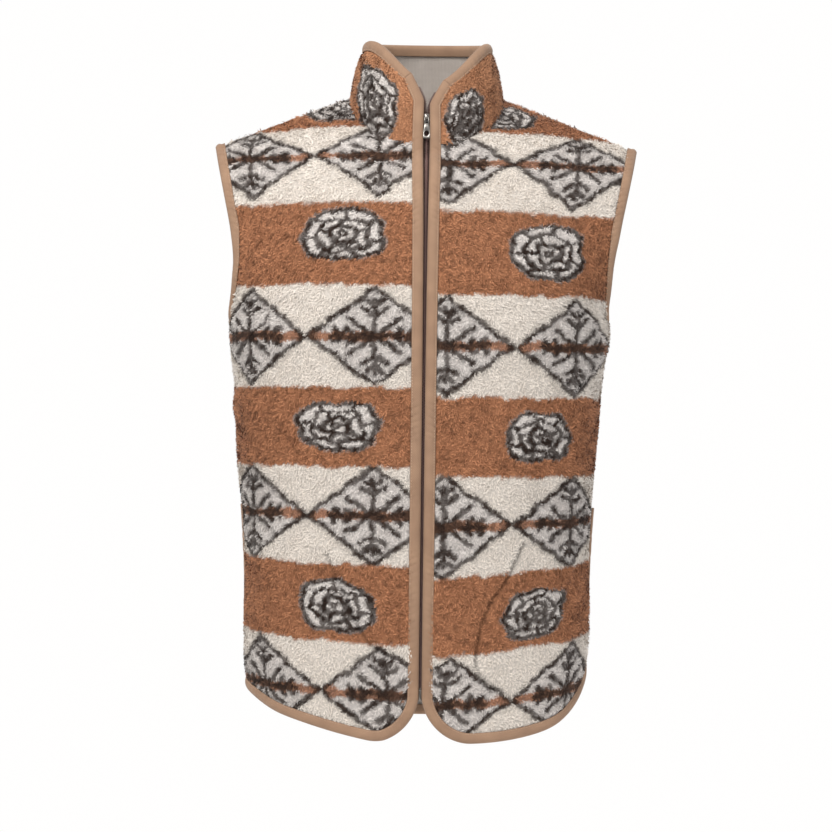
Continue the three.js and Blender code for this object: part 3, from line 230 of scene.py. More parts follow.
def inner_end(panel, row):
    """Inner end of each row: on the centre front or back line, and above it on the neck seam."""
    is_front = panel == "front"
    neck_row, neck_z = (FRONT_NECK_ROW, FRONT_NECK_Z) if is_front else (BACK_NECK_ROW, BACK_NECK_Z)
    start = FRONT_ANGLE if is_front else 180.0
    z = level_of(np.minimum(row, neck_row), neck_row, neck_z)
    section = look_up(TRUNK, "z", z)
    if is_front:
        to_neck = smooth(1 - (FRONT_NECK_Z - z) / NECK_BLEND)
        y = lerp(-section["front"], neck_seam(np.array(FRONT_ANGLE))[1], to_neck)
        on_line = np.stack([front_edge_x(z), y, z], -1)
    else:
        on_line = np.stack([np.zeros_like(z), section["back"], z], -1)
    t = np.clip((row - neck_row) / (1 - neck_row), 0, 1)
    on_seam = neck_seam(lerp(start, SHOULDER_ANGLE, t))
    return np.where((row <= neck_row)[..., None], on_line, on_seam)


def outer_end(panel, row):
    """Outer end of each row, on the side seam or the armhole, and how far the row wraps round, in degrees."""
    z = level_of(row, 1.0, 0.0)
    edge = look_up(ARMHOLE_FRONT if panel == "front" else ARMHOLE_BACK, "way",
                   (row - UNDERARM_ROW) / (1 - UNDERARM_ROW))
    low = row <= UNDERARM_ROW
    x = np.where(low, look_up(TRUNK, "z", z)["half_width"], edge["x"])
    point = np.stack([x, np.where(low, 0, edge["y"]), np.where(low, z, edge["z"])], -1)
    return point, np.where(low, 90, edge["wrap"])


def hem_rise(side, share):
    """How far the hem has climbed: 1 - (1 - q^start)^end of its full climb, q being how much of the
    climb's length lies behind."""
    full, length, start, end = (np.where(side > 0, a, b) for a, b in zip(HEM_RISE[LEFT], HEM_RISE[RIGHT]))
    q = np.clip(1 - (1 - share) * HALF_GIRTH / length, 0, 1)
    return full * (1 - (1 - q**start) ** end)


def fold_push(panel, side, share, z):
    """Sum of long soft bumps, each a Gaussian along and across its own way."""
    f = FOLDS[panel]
    across = (share[..., None] - f["round"]) * HALF_GIRTH
    up = z[..., None] - f["z"]
    c, s = np.cos(np.radians(f["turn"])), np.sin(np.radians(f["turn"]))
    along = (across * c + up * s) / f["long"]
    beside = (-across * s + up * c) / f["wide"]
    mine = np.asarray(side)[..., None] == f["side"]
    return (mine * f["depth"] * np.exp(-(along**2) - beside**2)).sum(-1)


def body_sheet(panel, side, share, row):
    """The backing cloth of a body panel. A row goes from its inner to its outer end as part of a squared
    ellipse: sideways by sin^square and back by 1 - cos^square of the turn, each over its value at the
    outer end. Then come the hem's rise, the folds, and the swing to the wearer's right. A negative share
    on the back is on the other side of its centre line."""
    share, row = np.broadcast_arrays(np.asarray(share, float), np.asarray(row, float))
    side = np.where(share < 0, -side, side)
    share = np.abs(share) if panel == "back" else np.maximum(share, 0)
    inner = inner_end(panel, row)
    outer, wrap_degrees = outer_end(panel, row)
    trunk = look_up(TRUNK, "z", inner[..., 2])
    square, wrap = trunk["square"], np.radians(wrap_degrees)
    turn = share * wrap
    reach = (np.sin(turn) / np.sin(wrap)) ** square
    fall = (1 - np.maximum(np.cos(turn), 0) ** square) / (1 - np.maximum(np.cos(wrap), 0) ** square)
    x, y, z = (lerp(inner[..., k], outer[..., k], t) for k, t in enumerate((reach, fall, reach)))
    height = level_of(np.minimum(row, UNDERARM_ROW), 1.0, 0.0) - HEM_Z
    below = row < UNDERARM_ROW
    z = z + np.where(below, hem_rise(side, share) * np.clip(1 - height / HEM_LEVEL_HEIGHT, 0, 1), 0)
    push = fold_push(panel, side, share, z) * smooth((1 - row) / FOLD_FADE) * smooth((1 - share) / FOLD_FADE)
    out = unit(np.stack([x / TRUNK_FLATNESS, y], -1))
    x = (x + out[..., 0] * push) * side
    swung = smooth(share) if panel == "front" else 1.0
    x = x + trunk["shift"] * swung
    return np.stack([x, y + out[..., 1] * push, z], -1)


def collar_sheet(side, share, up):
    """The backing cloth of the collar: lines from the neck seam to the top edge's ellipse, bulging as a
    sine. The front edges run straight up, and part above a share of the height."""
    share, up = np.broadcast_arrays(np.asarray(share, float), np.asarray(up, float))
    side = np.where(share > 1, -side, side)
    share = np.where(share > 1, 2 - share, share)
    corner_angle, corner_z, steep = (
        np.where(side > 0, a, b) for a, b in zip(COLLAR_CORNER[LEFT], COLLAR_CORNER[RIGHT]))
    base_angle, top_angle = lerp(FRONT_ANGLE, 180.0, share), lerp(corner_angle, 180.0, share)
    flare = np.clip((up - FLARE_FROM) / (1 - FLARE_FROM), 0, 1) ** FLARE_POWER
    a, t = np.radians(lerp(base_angle, top_angle, flare)), np.radians(top_angle)
    towards_front = np.maximum(np.cos(t), 0) / np.cos(np.radians(corner_angle))
    top_z = COLLAR_SIDE_Z + (corner_z - COLLAR_SIDE_Z) * towards_front**steep
    top_z = top_z + (COLLAR_BACK_Z - COLLAR_SIDE_Z) * np.maximum(-np.cos(t), 0)
    bulge = COLLAR_BULGE * np.sin(np.pi * up)
    half_width = lerp(NECK_HALF_WIDTH, COLLAR_HALF_WIDTH, up) + bulge
    depth = lerp(NECK_DEPTH, COLLAR_DEPTH, up) + bulge
    x, y = side * half_width * np.sin(a), lerp(NECK_CENTRE_Y, COLLAR_CENTRE_Y, up) - depth * np.cos(a)
    return np.stack([x, y, lerp(neck_seam(base_angle)[..., 2], top_z, up)], -1)


def sheet_normal(sheet, outward, a, b, low=(0.0, 0.0), high=(1.0, 1.0), step=0.004):
    """Outward normal of a cloth by differences in its two numbers, one-sided at its edges."""
    a0, a1 = np.maximum(a - step, low[0]), np.minimum(a + step, high[0])
    b0, b1 = np.maximum(b - step, low[1]), np.minimum(b + step, high[1])
    n = unit(np.cross(sheet(a1, b) - sheet(a0, b), sheet(a, b1) - sheet(a, b0)))
    facing = (n * outward(sheet(a, b))).sum(-1, keepdims=True)
    return np.where(facing < 0, -n, n)


def body_outward(point):
    """A direction out of the trunk, for telling a normal's two sides apart."""
    x, y, z = np.moveaxis(point, -1, 0)
    return np.stack([x / 2, y, np.maximum(0, z + 90) * 0.8], -1)


def collar_outward(point):
    x, y, z = np.moveaxis(point, -1, 0)
    return np.stack([x, y - NECK_CENTRE_Y, z * 0], -1)


def body_normal(panel, side, share, row):
    neck_row = FRONT_NECK_ROW if panel == "front" else BACK_NECK_ROW
    at_centre = panel == "back"
    low = (-1.0 if at_centre else 0.0, 0.0)
    one = lambda a, b: body_sheet(panel, side, a, b)
    normal = sheet_normal(one, body_outward, share, row, low)
    own = sheet_normal(one, body_outward, np.maximum(share, 0), row)
    return np.where((row > neck_row)[..., None], own, normal)


def collar_normal(side, share, up):
    return sheet_normal(lambda a, b: collar_sheet(side, a, b), collar_outward, share, up, high=(2.0, 1.0))


# Noise

LATTICE = np.random.default_rng(4127).uniform(-1, 1, (16, 128, 128))


def grain(x, y, size, layer=0):
    """Smooth noise from -1 to 1: random values on a square lattice of that size in mm, blended between."""
    x, y = x / size, y / size
    i, j = np.floor(x).astype(int), np.floor(y).astype(int)
    fx, fy = smooth(x - i), smooth(y - j)
    g = LATTICE[layer]
    at = lambda a, b: g[(i + a) % 128, (j + b) % 128]
    return lerp(lerp(at(0, 0), at(1, 0), fx), lerp(at(0, 1), at(1, 1), fx), fy)


# Colours

def linear(code):
    """An sRGB colour written as hex, turned to linear."""
    c = np.array([int(code[i : i + 2], 16) for i in (1, 3, 5)]) / 255
    return np.where(c <= 0.04045, c / 12.92, ((c + 0.055) / 1.055) ** 2.4)


CREAM = linear("#f1e8de")
MOTIF_WHITE = linear("#ebe4df")
MOTIF_GREY = linear("#a39690")
BROWN = linear("#c98c66")
BROWN_DEEP = linear("#8c5b40")
# Darkest brown of the flecks: partly the wool's own tone, partly painted shade deep between the curls
BROWN_FLECK_AND_SHADE = linear("#5e3d2c")
DARK = linear("#33251e")
COLLAR_BROWN = linear("#bf8a66")
WRONG_SIDE = linear("#c9beb0")

# The pile's pattern, in mm. u goes round the body from the centre line and v up the cloth.
BROWN_BANDS = table("top bottom", [(66, -16), (-125, -212), (-319, -402), (-503, -585), (-688, -771)])
DIAMOND_LINES = np.array([-67.0, -265.5, -452.5, -638.0])  # middle heights of the cream bands
DIAMOND_HALF_WIDTH, DIAMOND_HALF_HEIGHT, DIAMOND_PITCH = 72.0, 51.0, 145.0
DIAMOND_PHASE = {"front_right": (52, 52, 52, 52), "front_left": (25, 23, 23, 42), "back": (0, 0, 0, 0)}
PATTERN_DROP = {"front_right": 0.0, "front_left": 9.0, "back": 0.0}  # how much lower a panel was cut
# How much lower the pattern's low bands run at the zip, and how that changes with each mm round the body
PATTERN_TILT = {"front_right": (5.0, -0.04), "front_left": (9.5, -0.097), "back": (0.0, 0.0)}
TILT_FROM, TILT_FADE = -420.0, 110.0
ROSE_SQUARE = 2.7
OUTLINE_WIDTH, OUTLINE_HALO = 5.6, 5.0
LINE_BLUR, BAND_BLUR, HALO = 2.6, 3.6, 0.2
STRIPE_HALF_HEIGHT = 4.8
ARM_WIDTH, ARM_HALO = 6.2, 6.5
# Arms of the star in a quarter of a diamond, as lines between two places from its middle
STAR_ARMS = table("x0 y0 x1 y1", [
    (0, 0, 0, 38),
    (0, 22, 13, 29),
    (0, 31, 8, 37),
    (0, 0, 44, 0),
    (20, 0, 29, 7),
    (32, 0, 41, 7),
    (0, 0, 27, 18),
])
ROSE_COLUMNS = "u v half_width half_height turn"
ROSES = {
    "front_right": table(ROSE_COLUMNS, [
        (90, 24, 46, 28, 0.4), (90, -160, 49, 28, 0.0), (90, -360, 46, 27, 1.9), (95, -547, 43, 28, 3.3)]),
    "front_left": table(ROSE_COLUMNS, [
        (75, 16, 46, 26, 2.5), (138, -167, 46, 31, 1.0), (125, -360, 40, 27, 2.8), (129, -549, 38, 27, 4.4)]),
    "back": table(ROSE_COLUMNS, [
        (u, v, 46, 28, turn)
        for u, turn in ((-107, 0.5), (183, 2.2))
        for v in (22, -168, -360, -545)]),
    "collar": table(ROSE_COLUMNS, [
        (-58, 30, 33, 35, 0.9), (38, 22, 26, 26, 2.0), (172, 38, 33, 28, 4.0), (-168, 34, 33, 28, 5.1)]),
}


def star_distance(p, q):
    """Distance to the nearest of the star's arms, with the four quarters folded into one."""
    p, q = np.abs(p)[..., None], np.abs(q)[..., None]
    dx, dy = STAR_ARMS["x1"] - STAR_ARMS["x0"], STAR_ARMS["y1"] - STAR_ARMS["y0"]
    px, py = p - STAR_ARMS["x0"], q - STAR_ARMS["y0"]
    t = np.clip((px * dx + py * dy) / (dx**2 + dy**2), 0, 1)
    return np.sqrt((px - t * dx) ** 2 + (py - t * dy) ** 2).min(-1)


def rose(p, q, half_width, half_height, turn):
    """(inside, dark) of a rose in a rounded oblong, of power ROSE_SQUARE: a scalloped dark edge, a second
    dark ring of scallops halfway, a dark ring round its middle, and dark lines that part the petals of
    each. The lines are heavier in its lower half. p and q are in mm from its middle."""
    x, y = p / half_width, q / half_height
    a = np.arctan2(y, x)
    r = (np.abs(x) ** ROSE_SQUARE + np.abs(y) ** ROSE_SQUARE) ** (1 / ROSE_SQUARE)
    edge = 1 - 0.06 * np.abs(np.sin(3.5 * a + turn)) ** 3 - 0.03 * np.sin(3 * a + 2 * turn)
    mean = 0.5 * (half_width + half_height)
    rim = np.abs(r - edge + 0.05) * mean
    middle = 0.66 - 0.1 * np.abs(np.sin(2.5 * a + 2 * turn))
    ring = np.abs(r - middle) * mean
    small = np.abs(r - 0.3 - 0.05 * np.sin(3 * a + turn)) * mean
    outer = np.where((r > middle) & (r < edge), np.abs(np.sin(3.5 * a + turn + 0.6 * r)) * r * mean / 3.5, 99)
    inner = np.where((r > 0.3) & (r < middle), np.abs(np.sin(2.5 * a + 2 * turn - r)) * r * mean / 2.5, 99)
    heart = np.abs(r * mean - 3)
    lines = np.stack([rim * 0.8, ring * 1.15, small * 0.8, outer * 1.3, inner * 1.2, heart * 1.4])
    near = lines.min(0) * (1 + 0.3 * y)
    return smooth((edge - r) * mean / 2.5 + 0.5), smooth((4.1 - near) / 2.4)


def smudge(near, reach):
    """Strength of a drawn line with soft sides, at a distance from its edge: half of it at the edge, and a
    faint halo as far as a reach in mm."""
    return np.maximum(0.98 * smooth(0.5 - near / LINE_BLUR), HALO * smooth(1 - near / reach))


def over(under, mask, colour):
    return lerp(under, colour, mask[..., None])


def pile_colour(cut, u, v):
    """Colour of the pile at places on one cut piece. The places are first moved about by noise, as the
    fibres stray, and then the bands, diamonds, stars, stripes and roses are laid over each other."""
    seed = sum(map(ord, cut))
    x, y = u + 37.0 * seed, v + 911.0
    u = u + 2.2 * grain(x, y, 9, 0) + 1.2 * grain(x, y, 3.1, 1)
    v = v + 2.2 * grain(x, y, 11, 2) + 1.5 * grain(x, y, 2.8, 3)
    speck = 0.5 + 0.5 * grain(x, y, 2.1, 4)
    cloud = 0.5 + 0.5 * grain(x, y, 14, 5)
    # Clumps of curls about 5 mm across. This noise shades the browns and the cream, partly as painted shade
    # and light on the clumps
    clump = 0.5 + 0.5 * grain(x, y, 5, 12)
    # Dark flecks about 2 mm across: partly the wool's own tone, partly painted shade deep between the curls
    fleck_and_shade = smooth(1.5 * grain(x, y, 2.3, 13) - 0.1)
    brown = lerp(BROWN, BROWN_DEEP, (0.15 * cloud + 0.3 * speck + 0.4 * clump)[..., None])
    brown = lerp(brown, BROWN_FLECK_AND_SHADE, (0.55 * fleck_and_shade)[..., None])
    worn = 0.86 + 0.14 * smooth(1.2 * grain(x, y, 4.3, 14) + 0.5)
    motif = lerp(MOTIF_WHITE, MOTIF_GREY, (np.clip(speck * 1.5 - 0.85, 0, 1) * 0.7)[..., None])
    if cut == "collar":
        colour = lerp(brown, COLLAR_BROWN, 0.6)
    else:
        at_zip, per_mm = PATTERN_TILT[cut]
        v = v + PATTERN_DROP[cut] + (at_zip + per_mm * u) * smooth((TILT_FROM - v) / TILT_FADE)
        # The cream has random tone, and painted shade and light on the curl clumps
        colour = np.broadcast_to(CREAM, u.shape + (3,)) * (0.95 + 0.03 * speck + 0.05 * clump)[..., None]
        slope = math.hypot(1 / DIAMOND_HALF_WIDTH, 1 / DIAMOND_HALF_HEIGHT)
        for middle, phase in zip(DIAMOND_LINES, DIAMOND_PHASE[cut]):
            p = (u - phase + DIAMOND_PITCH / 2) % DIAMOND_PITCH - DIAMOND_PITCH / 2
            q = v - middle
            inside = (1 - np.abs(p) / DIAMOND_HALF_WIDTH - np.abs(q) / DIAMOND_HALF_HEIGHT) / slope
            within = smooth(inside + 0.5)
            colour = over(colour, within, motif)
            stripe = within * smooth((STRIPE_HALF_HEIGHT - np.abs(q)) / 2 + 0.5)
            colour = over(colour, stripe * 0.92, brown)
            arm = star_distance(p, q) - ARM_WIDTH / 2
            colour = over(colour, within * smudge(arm, ARM_HALO) * worn, DARK)
            outline = smudge(np.abs(inside - 0.6) - OUTLINE_WIDTH / 2, OUTLINE_HALO)
            band = smooth((DIAMOND_HALF_HEIGHT + 3 - np.abs(q)) / 2)
            colour = over(colour, outline * band * worn, DARK)
        for top, bottom in zip(BROWN_BANDS["top"], BROWN_BANDS["bottom"]):
            band = smooth((top - v) / BAND_BLUR + 0.5) * smooth((v - bottom) / BAND_BLUR + 0.5)
            colour = over(colour, band, brown)
    roses = ROSES[cut]
    for k in range(len(roses["u"])):
        shape = {name: column[k] for name, column in roses.items()}
        inside, dark = rose(u - shape["u"], v - shape["v"], shape["half_width"],
                            shape["half_height"], shape["turn"])
        colour = over(colour, inside, motif)
        colour = over(colour, inside * dark * worn, DARK)
    return colour


# Materials

def add(tree, kind, inputs=None, **settings):
    """Adds a node with its settings. Each of its inputs gets a link from a socket, or a value."""
    made = tree.nodes.new(kind)
    for key, value in settings.items():
        setattr(made, key, value)
    for key, value in (inputs or {}).items():
        if isinstance(value, bpy.types.NodeSocket):
            tree.links.new(value, made.inputs[key])
        else:
            made.inputs[key].default_value = value
    return made


def start_material(name, values):
    """A new material with values on its shader's own sockets. Returns it, its tree and its shader."""
    material = bpy.data.materials.new(name)
    material.use_nodes = True
    shader = material.node_tree.nodes["Principled BSDF"]
    for key, value in values.items():
        shader.inputs[key].default_value = value
    return material, material.node_tree, shader


def opaque(colour):
    return (*colour, 1.0)


def period(length):
    """Scale that makes a wave texture repeat after a length in metres."""
    return math.pi / 10 / length


def between(tree, share, low, high):
    """A colour between two shades that are written as hex."""
    return add(tree, "ShaderNodeMix", {
        0: share, 6: opaque(linear(low)), 7: opaque(linear(high))}, data_type="RGBA").outputs[2]


def shaded_by(tree, shader, colour, height, limits):
    """The base colour: a colour with painted shade where a height is low, as in a hollow, and painted light
    where it is high. The limits are those of the height and of the brightness that it gives."""
    bright = add(tree, "ShaderNodeMapRange", {"Value": height, **limits})
    shaded = add(tree, "ShaderNodeHueSaturation", {"Value": bright.outputs["Result"], "Color": colour})
    tree.links.new(shaded.outputs["Color"], shader.inputs["Base Color"])


def roughen(tree, shader, height, distance, strength):
    """Bump from a height, over a distance in metres."""
    bump = add(tree, "ShaderNodeBump", {"Height": height, "Distance": distance, "Strength": strength})
    tree.links.new(bump.outputs["Normal"], shader.inputs["Normal"])


def pile_material(name, values, lift):
    """Worsted-spun wool pile knitted into a backing and curled by heat. Its colour is the piece's own, read
    from the point colours with their painted shade and light, and mottled with painted shade and light at
    the size of single curls, 2.4 mm. Fibres about 0.5 mm apart roughen it; drawn at 0.8 mm."""
    material, tree, shader = start_material(name, values)
    place = add(tree, "ShaderNodeTexCoord").outputs["Object"]
    dye_and_shade = add(tree, "ShaderNodeAttribute", attribute_name="pile_colour").outputs["Color"]
    curls = add(tree, "ShaderNodeTexNoise", {"Vector": place, "Scale": 420.0, "Detail": 3.0})
    shaded_by(tree, shader, dye_and_shade, curls.outputs["Fac"], {
        "From Min": 0.3, "From Max": 0.7, "To Min": 0.86, "To Max": 1.12})
    fibres = add(tree, "ShaderNodeTexNoise", {"Vector": place, "Scale": 1250.0, "Detail": 2.0})
    roughen(tree, shader, fibres.outputs["Fac"], lift, 0.9)
    return material


def knit_material():
    """Pale wool jersey, the plain side of the pile's backing. It is drawn as rounded ribs 1.6 mm apart,
    crossed by rows 1.3 mm apart."""
    material, tree, shader = start_material("wool_jersey_backing", {
        "Roughness": 0.92, "Sheen Weight": 0.25, "Sheen Roughness": 0.5, "Specular IOR Level": 0.3})
    place = add(tree, "ShaderNodeTexCoord").outputs["Object"]
    ribs = add(tree, "ShaderNodeTexWave", {"Vector": place, "Scale": period(0.0016), "Distortion": 0.6},
               bands_direction="X", wave_profile="SIN")
    rows = add(tree, "ShaderNodeTexWave", {"Vector": place, "Scale": period(0.0013), "Distortion": 0.8},
               bands_direction="Z", wave_profile="SIN")
    loops = add(tree, "ShaderNodeMath", {0: ribs.outputs["Fac"], 1: rows.outputs["Fac"]},
                operation="MULTIPLY").outputs["Value"]
    wear = add(tree, "ShaderNodeTexNoise", {"Vector": place, "Scale": 60.0, "Detail": 4.0})
    shade = between(tree, wear.outputs["Fac"], "#b8aea6", "#d8cfc7")
    # Painted shade in the hollows between the loops, and painted light on their tops
    shaded_by(tree, shader, shade, loops, {"To Min": 0.8, "To Max": 1.05})
    roughen(tree, shader, loops, 0.0004, 0.8)
    return material


def woven_material(name, low, high, rib, values):
    """A woven tape. It reads the map along the tape, in metres: diagonal ribs of the twill, and crosswise
    yarns at two thirds of the ribs' distance, with slow changes of shade along it."""
    material, tree, shader = start_material(name, values)
    place = add(tree, "ShaderNodeUVMap", uv_map="tape_length").outputs["UV"]
    twill = add(tree, "ShaderNodeTexWave", {"Vector": place, "Scale": period(rib)},
                bands_direction="DIAGONAL", wave_profile="SIN")
    yarns = add(tree, "ShaderNodeTexWave", {"Vector": place, "Scale": period(rib * 0.66), "Distortion": 0.4},
                bands_direction="X", wave_profile="SIN")
    weave = add(tree, "ShaderNodeMath", {0: twill.outputs["Fac"], 1: yarns.outputs["Fac"], 2: 0.35},
                operation="MULTIPLY_ADD").outputs["Value"]
    slow = add(tree, "ShaderNodeTexNoise", {"Vector": place, "Scale": 45.0, "Detail": 5.0})
    shade = between(tree, slow.outputs["Fac"], low, high)
    # Painted shade in the hollows between the yarns, and painted light on their tops
    shaded_by(tree, shader, shade, weave, {"From Max": 1.3, "To Min": 0.8, "To Max": 1.1})
    roughen(tree, shader, weave, 0.00025, 0.6)
    return material


def grained_material(name, low, high, size, lift, values):
    """A moulded, spun or plated finish: two near shades and a fine unevenness, both of one noise whose
    features have that size in metres."""
    material, tree, shader = start_material(name, values)
    place = add(tree, "ShaderNodeTexCoord").outputs["Object"]
    grainy = add(tree, "ShaderNodeTexNoise", {"Vector": place, "Scale": 1 / size, "Detail": 4.0})
    tree.links.new(between(tree, grainy.outputs["Fac"], low, high), shader.inputs["Base Color"])
    roughen(tree, shader, grainy.outputs["Fac"], lift, 0.5)
    return material


# Dense feet of the pile: dull, with little light between the fibres
PILE_FOOT = pile_material("wool_pile_foot", {
    "Roughness": 0.95, "Sheen Weight": 0.08, "Sheen Roughness": 0.5, "Specular IOR Level": 0.15}, 0.0006)
# Loose ends of the pile: silky where the light grazes them
PILE_ENDS = pile_material("wool_pile_ends", {
    "Roughness": 0.8, "Sheen Weight": 0.12, "Sheen Roughness": 0.4, "Specular IOR Level": 0.2}, 0.0001)
WRONG_SIDE_KNIT = knit_material()
# Cotton and polyester twill tape, matt, dyed to go with the brown wool
BINDING = woven_material("cotton_twill_binding", "#8a6c57", "#b69377", 0.0012, {
    "Roughness": 0.8, "Sheen Weight": 0.15, "Specular IOR Level": 0.35})
# Woven polyester zip tape, dark brown
ZIP_WEB = woven_material("polyester_zip_tape", "#33241f", "#4a362e", 0.0009, {
    "Roughness": 0.75, "Specular IOR Level": 0.4})
# Spun polyester sewing thread, a little lighter and glossier than the tape
THREAD = grained_material("polyester_thread", "#b3927a", "#d2b49c", 0.0009, 0.0001, {
    "Roughness": 0.6, "Specular IOR Level": 0.45})
# Extruded nylon monofilament, smooth, in a dusty mauve brown
COIL = grained_material("nylon_coil", "#6f5450", "#8f726c", 0.002, 0.00003, {
    "Roughness": 0.38, "IOR": 1.53})
# Die-cast zinc with a bright nickel plating, lightly rubbed
PLATING = grained_material("nickel_plated_zinc", "#75716d", "#9b9792", 0.0012, 0.00002, {
    "Metallic": 1.0, "Roughness": 0.3})


# Meshes

def mesh_object(name, points, faces, materials):
    """A smooth mesh from points in mm and arrays of faces, each array with its own number of corners."""
    mesh = bpy.data.meshes.new(name)
    mesh.from_pydata((points * MM).tolist(), [], [face for block in faces for face in block.tolist()])
    mesh.polygons.foreach_set("use_smooth", np.ones(len(mesh.polygons), bool))
    for material in materials:
        mesh.materials.append(material)
    mesh.update()
    piece = bpy.data.objects.new(name, mesh)
    bpy.context.scene.collection.objects.link(piece)
    return piece


def colour_points(piece, colours):
    """One colour for each point, which the pile's material reads."""
    layer = piece.data.color_attributes.new("pile_colour", "FLOAT_COLOR", "POINT")
    rgba = np.ones((len(colours), 4), np.float32)
    rgba[:, :3] = colours
    layer.data.foreach_set("color", rgba.ravel())


def lay_map(piece, uv):
    """A map with one place for each point of the mesh."""
    corner = np.empty(len(piece.data.loops), np.int64)
    piece.data.loops.foreach_get("vertex_index", corner)
    layer = piece.data.uv_layers.new(name="OFBake")
    layer.uv.foreach_set("vector", np.asarray(uv, np.float32)[corner].ravel())


def grid_faces(rows, columns, start=0):
    """The quads of a grid of points that are numbered row by row."""
    j, i = np.meshgrid(np.arange(rows - 1), np.arange(columns - 1), indexing="ij")
    a = (start + j * columns + i).ravel()
    return np.stack([a, a + 1, a + columns + 1, a + columns], 1)


def ring_faces(rings, size, is_loop=False):
    """The quads round a tube of rings, and between its last ring and its first if it is a loop."""
    j, i = np.meshgrid(np.arange(rings if is_loop else rings - 1), np.arange(size), indexing="ij")
    j, i = j.ravel(), i.ravel()
    after, beside = (j + 1) % rings, (i + 1) % size
    return np.stack([j * size + i, j * size + beside, after * size + beside, after * size + i], 1)


COARSE = 4  # a wrong side has one point for this many of the pile's, each way


def grid_border(rows, columns):
    """Numbers of a grid's edge points in order round it, from the start of its first row."""
    n = np.arange(rows * columns).reshape(rows, columns)
    return np.concatenate([n[0, :-1], n[:-1, -1], n[-1, :0:-1], n[:0:-1, 0]])


def wall_faces(rows, columns, base, start):
    """Faces of a closed wall: a fine grid, a coarse one behind it and a rim. The rim has one triangle on
    each fine edge, to the nearest coarse corner, and one on each coarse edge."""
    shape = (rows - 1) // COARSE + 1, (columns - 1) // COARSE + 1
    fine, coarse = grid_border(rows, columns), base + grid_border(*shape)
    i, j = np.arange(len(fine)), np.arange(len(coarse))
    nearest = coarse[((i + COARSE // 2) // COARSE) % len(coarse)]
    fans = np.stack([fine[i], nearest, fine[(i + 1) % len(fine)]], 1)
    last = fine[(j * COARSE + COARSE // 2) % len(fine)]
    closing = np.stack([last, coarse[j], coarse[(j + 1) % len(coarse)]], 1)
    faces = [grid_faces(rows, columns), grid_faces(*shape, base)[:, ::-1], fans, closing]
    return [f + start for f in faces]


EVEN_PLACES = 241  # along each row, where its length is summed up


def even_shares(sheet, count, row):
    """For each row, the shares that cut it into equal lengths: its length is summed up at many places,
    and the shares are read back from it."""
    fine = np.broadcast_to(np.linspace(0, 1, EVEN_PLACES), (len(row), EVEN_PLACES))
    line = sheet(fine, np.broadcast_to(row[:, None], fine.shape))
    length = along(line, 1)
    t = np.linspace(0, 1, count)
    return np.stack([np.interp(t * l[-1], l, fine[0]) for l in length])


def along(points, axis):
    """Length along a grid's lines, from their start."""
    steps = np.linalg.norm(np.diff(points, axis=axis), axis=-1)
    pad = [(1, 0) if k == axis else (0, 0) for k in (0, 1)]
    return np.pad(np.cumsum(steps, axis=axis), pad)


def grid_normals(points, outward):
    n = unit(np.cross(np.gradient(points, axis=1), np.gradient(points, axis=0)))
    return n * np.sign((n * outward(points)).sum())


# The cloth's grids

PATTERN_BREAK_Z = -100.0  # above this height the pattern is measured along the cloth
SEAM_LEAN = 16.0  # how near the neck seam the piles of body and collar begin to lean the same way
FRONT_COLUMNS, BACK_COLUMNS, BODY_ROWS = 97, 85, 301
COLLAR_COLUMNS, COLLAR_ROWS = 193, 37
NEAR_HEM_ROWS = 50


def body_grid(cut, side):
    """A grid of places over a front or half the back, with the cloth's points and normals, the pattern's u
    and v, the distance to the nearest edge that a tape binds, and the groove of the pocket bag's stitches."""
    panel = cut.split("_")[0]
    row = np.linspace(0, 1, BODY_ROWS)
    columns = FRONT_COLUMNS if panel == "front" else BACK_COLUMNS
    share = even_shares(lambda a, b: body_sheet(panel, side, a, b), columns, row)
    row = np.broadcast_to(row[:, None], share.shape)
    if panel == "front":
        row = lift_corner(side, share, row)
    points = part_seams(panel, side, share, row)
    normals = grid_normals(points, body_outward)
    if panel == "back":
        normals[row[:, 0] <= BACK_NECK_ROW, 0, 0] = 0
    normals = lean_to_collar(panel, side, row, points, unit(normals))
    inward = along(points, 1)
    rise = np.diff(points, axis=0)
    above = np.clip((points[1:, :, 2] - PATTERN_BREAK_Z) / np.maximum(rise[..., 2], 0.1), 0, 1)
    climbed = np.pad(np.cumsum(np.hypot(rise[..., 1], rise[..., 2]) * above, 0), ((1, 0), (0, 0)))
    u = np.abs(inner_end(panel, row[:, :1])[..., 0]) + inward
    u = u * side if panel == "back" else u
    v = np.minimum(points[..., 2], PATTERN_BREAK_Z) + climbed
    edge = edge_distance(panel, side, row, points, inward)
    return dict(points=points, normals=normals, u=u, v=v, edge=edge, groove=bag_groove(cut, u, v))


def row_at_height(height):
    return height / (UNDERARM_Z - HEM_Z) * UNDERARM_ROW


def lift_corner(side, share, row):
    """Lifts the lowest rows beside the zip so that they end on the front's rounded lower corner, and
    squeezes the rows above into the height that is left."""
    x = np.abs(body_sheet("front", side, share, row)[..., 0])
    d = np.clip(x - CORNER_X, 0, HEM_CORNER_RADIUS)
    lift = HEM_CORNER_RADIUS - np.sqrt(HEM_CORNER_RADIUS**2 - (HEM_CORNER_RADIUS - d) ** 2)
    level = row_at_height(HEM_LEVEL_HEIGHT)
    return row + np.where(row < level, row_at_height(lift) * (1 - row / level), 0)


def part_seams(panel, side, share, row):
    """The cloth, kept half a seam gap away from the side and shoulder seams."""
    points = body_sheet(panel, side, share, row)
    down = unit(body_sheet(panel, side, share, row - 0.01) - points)
    across = unit(body_sheet(panel, side, share - 0.01, row) - points)
    at_shoulder = (row > 1 - 1e-6)[..., None]
    at_side = ((share > 1 - 1e-6) & (row <= UNDERARM_ROW))[..., None]
    return points + SEAM_GAP / 2 * (np.where(at_shoulder, down, 0) + np.where(at_side, across, 0))


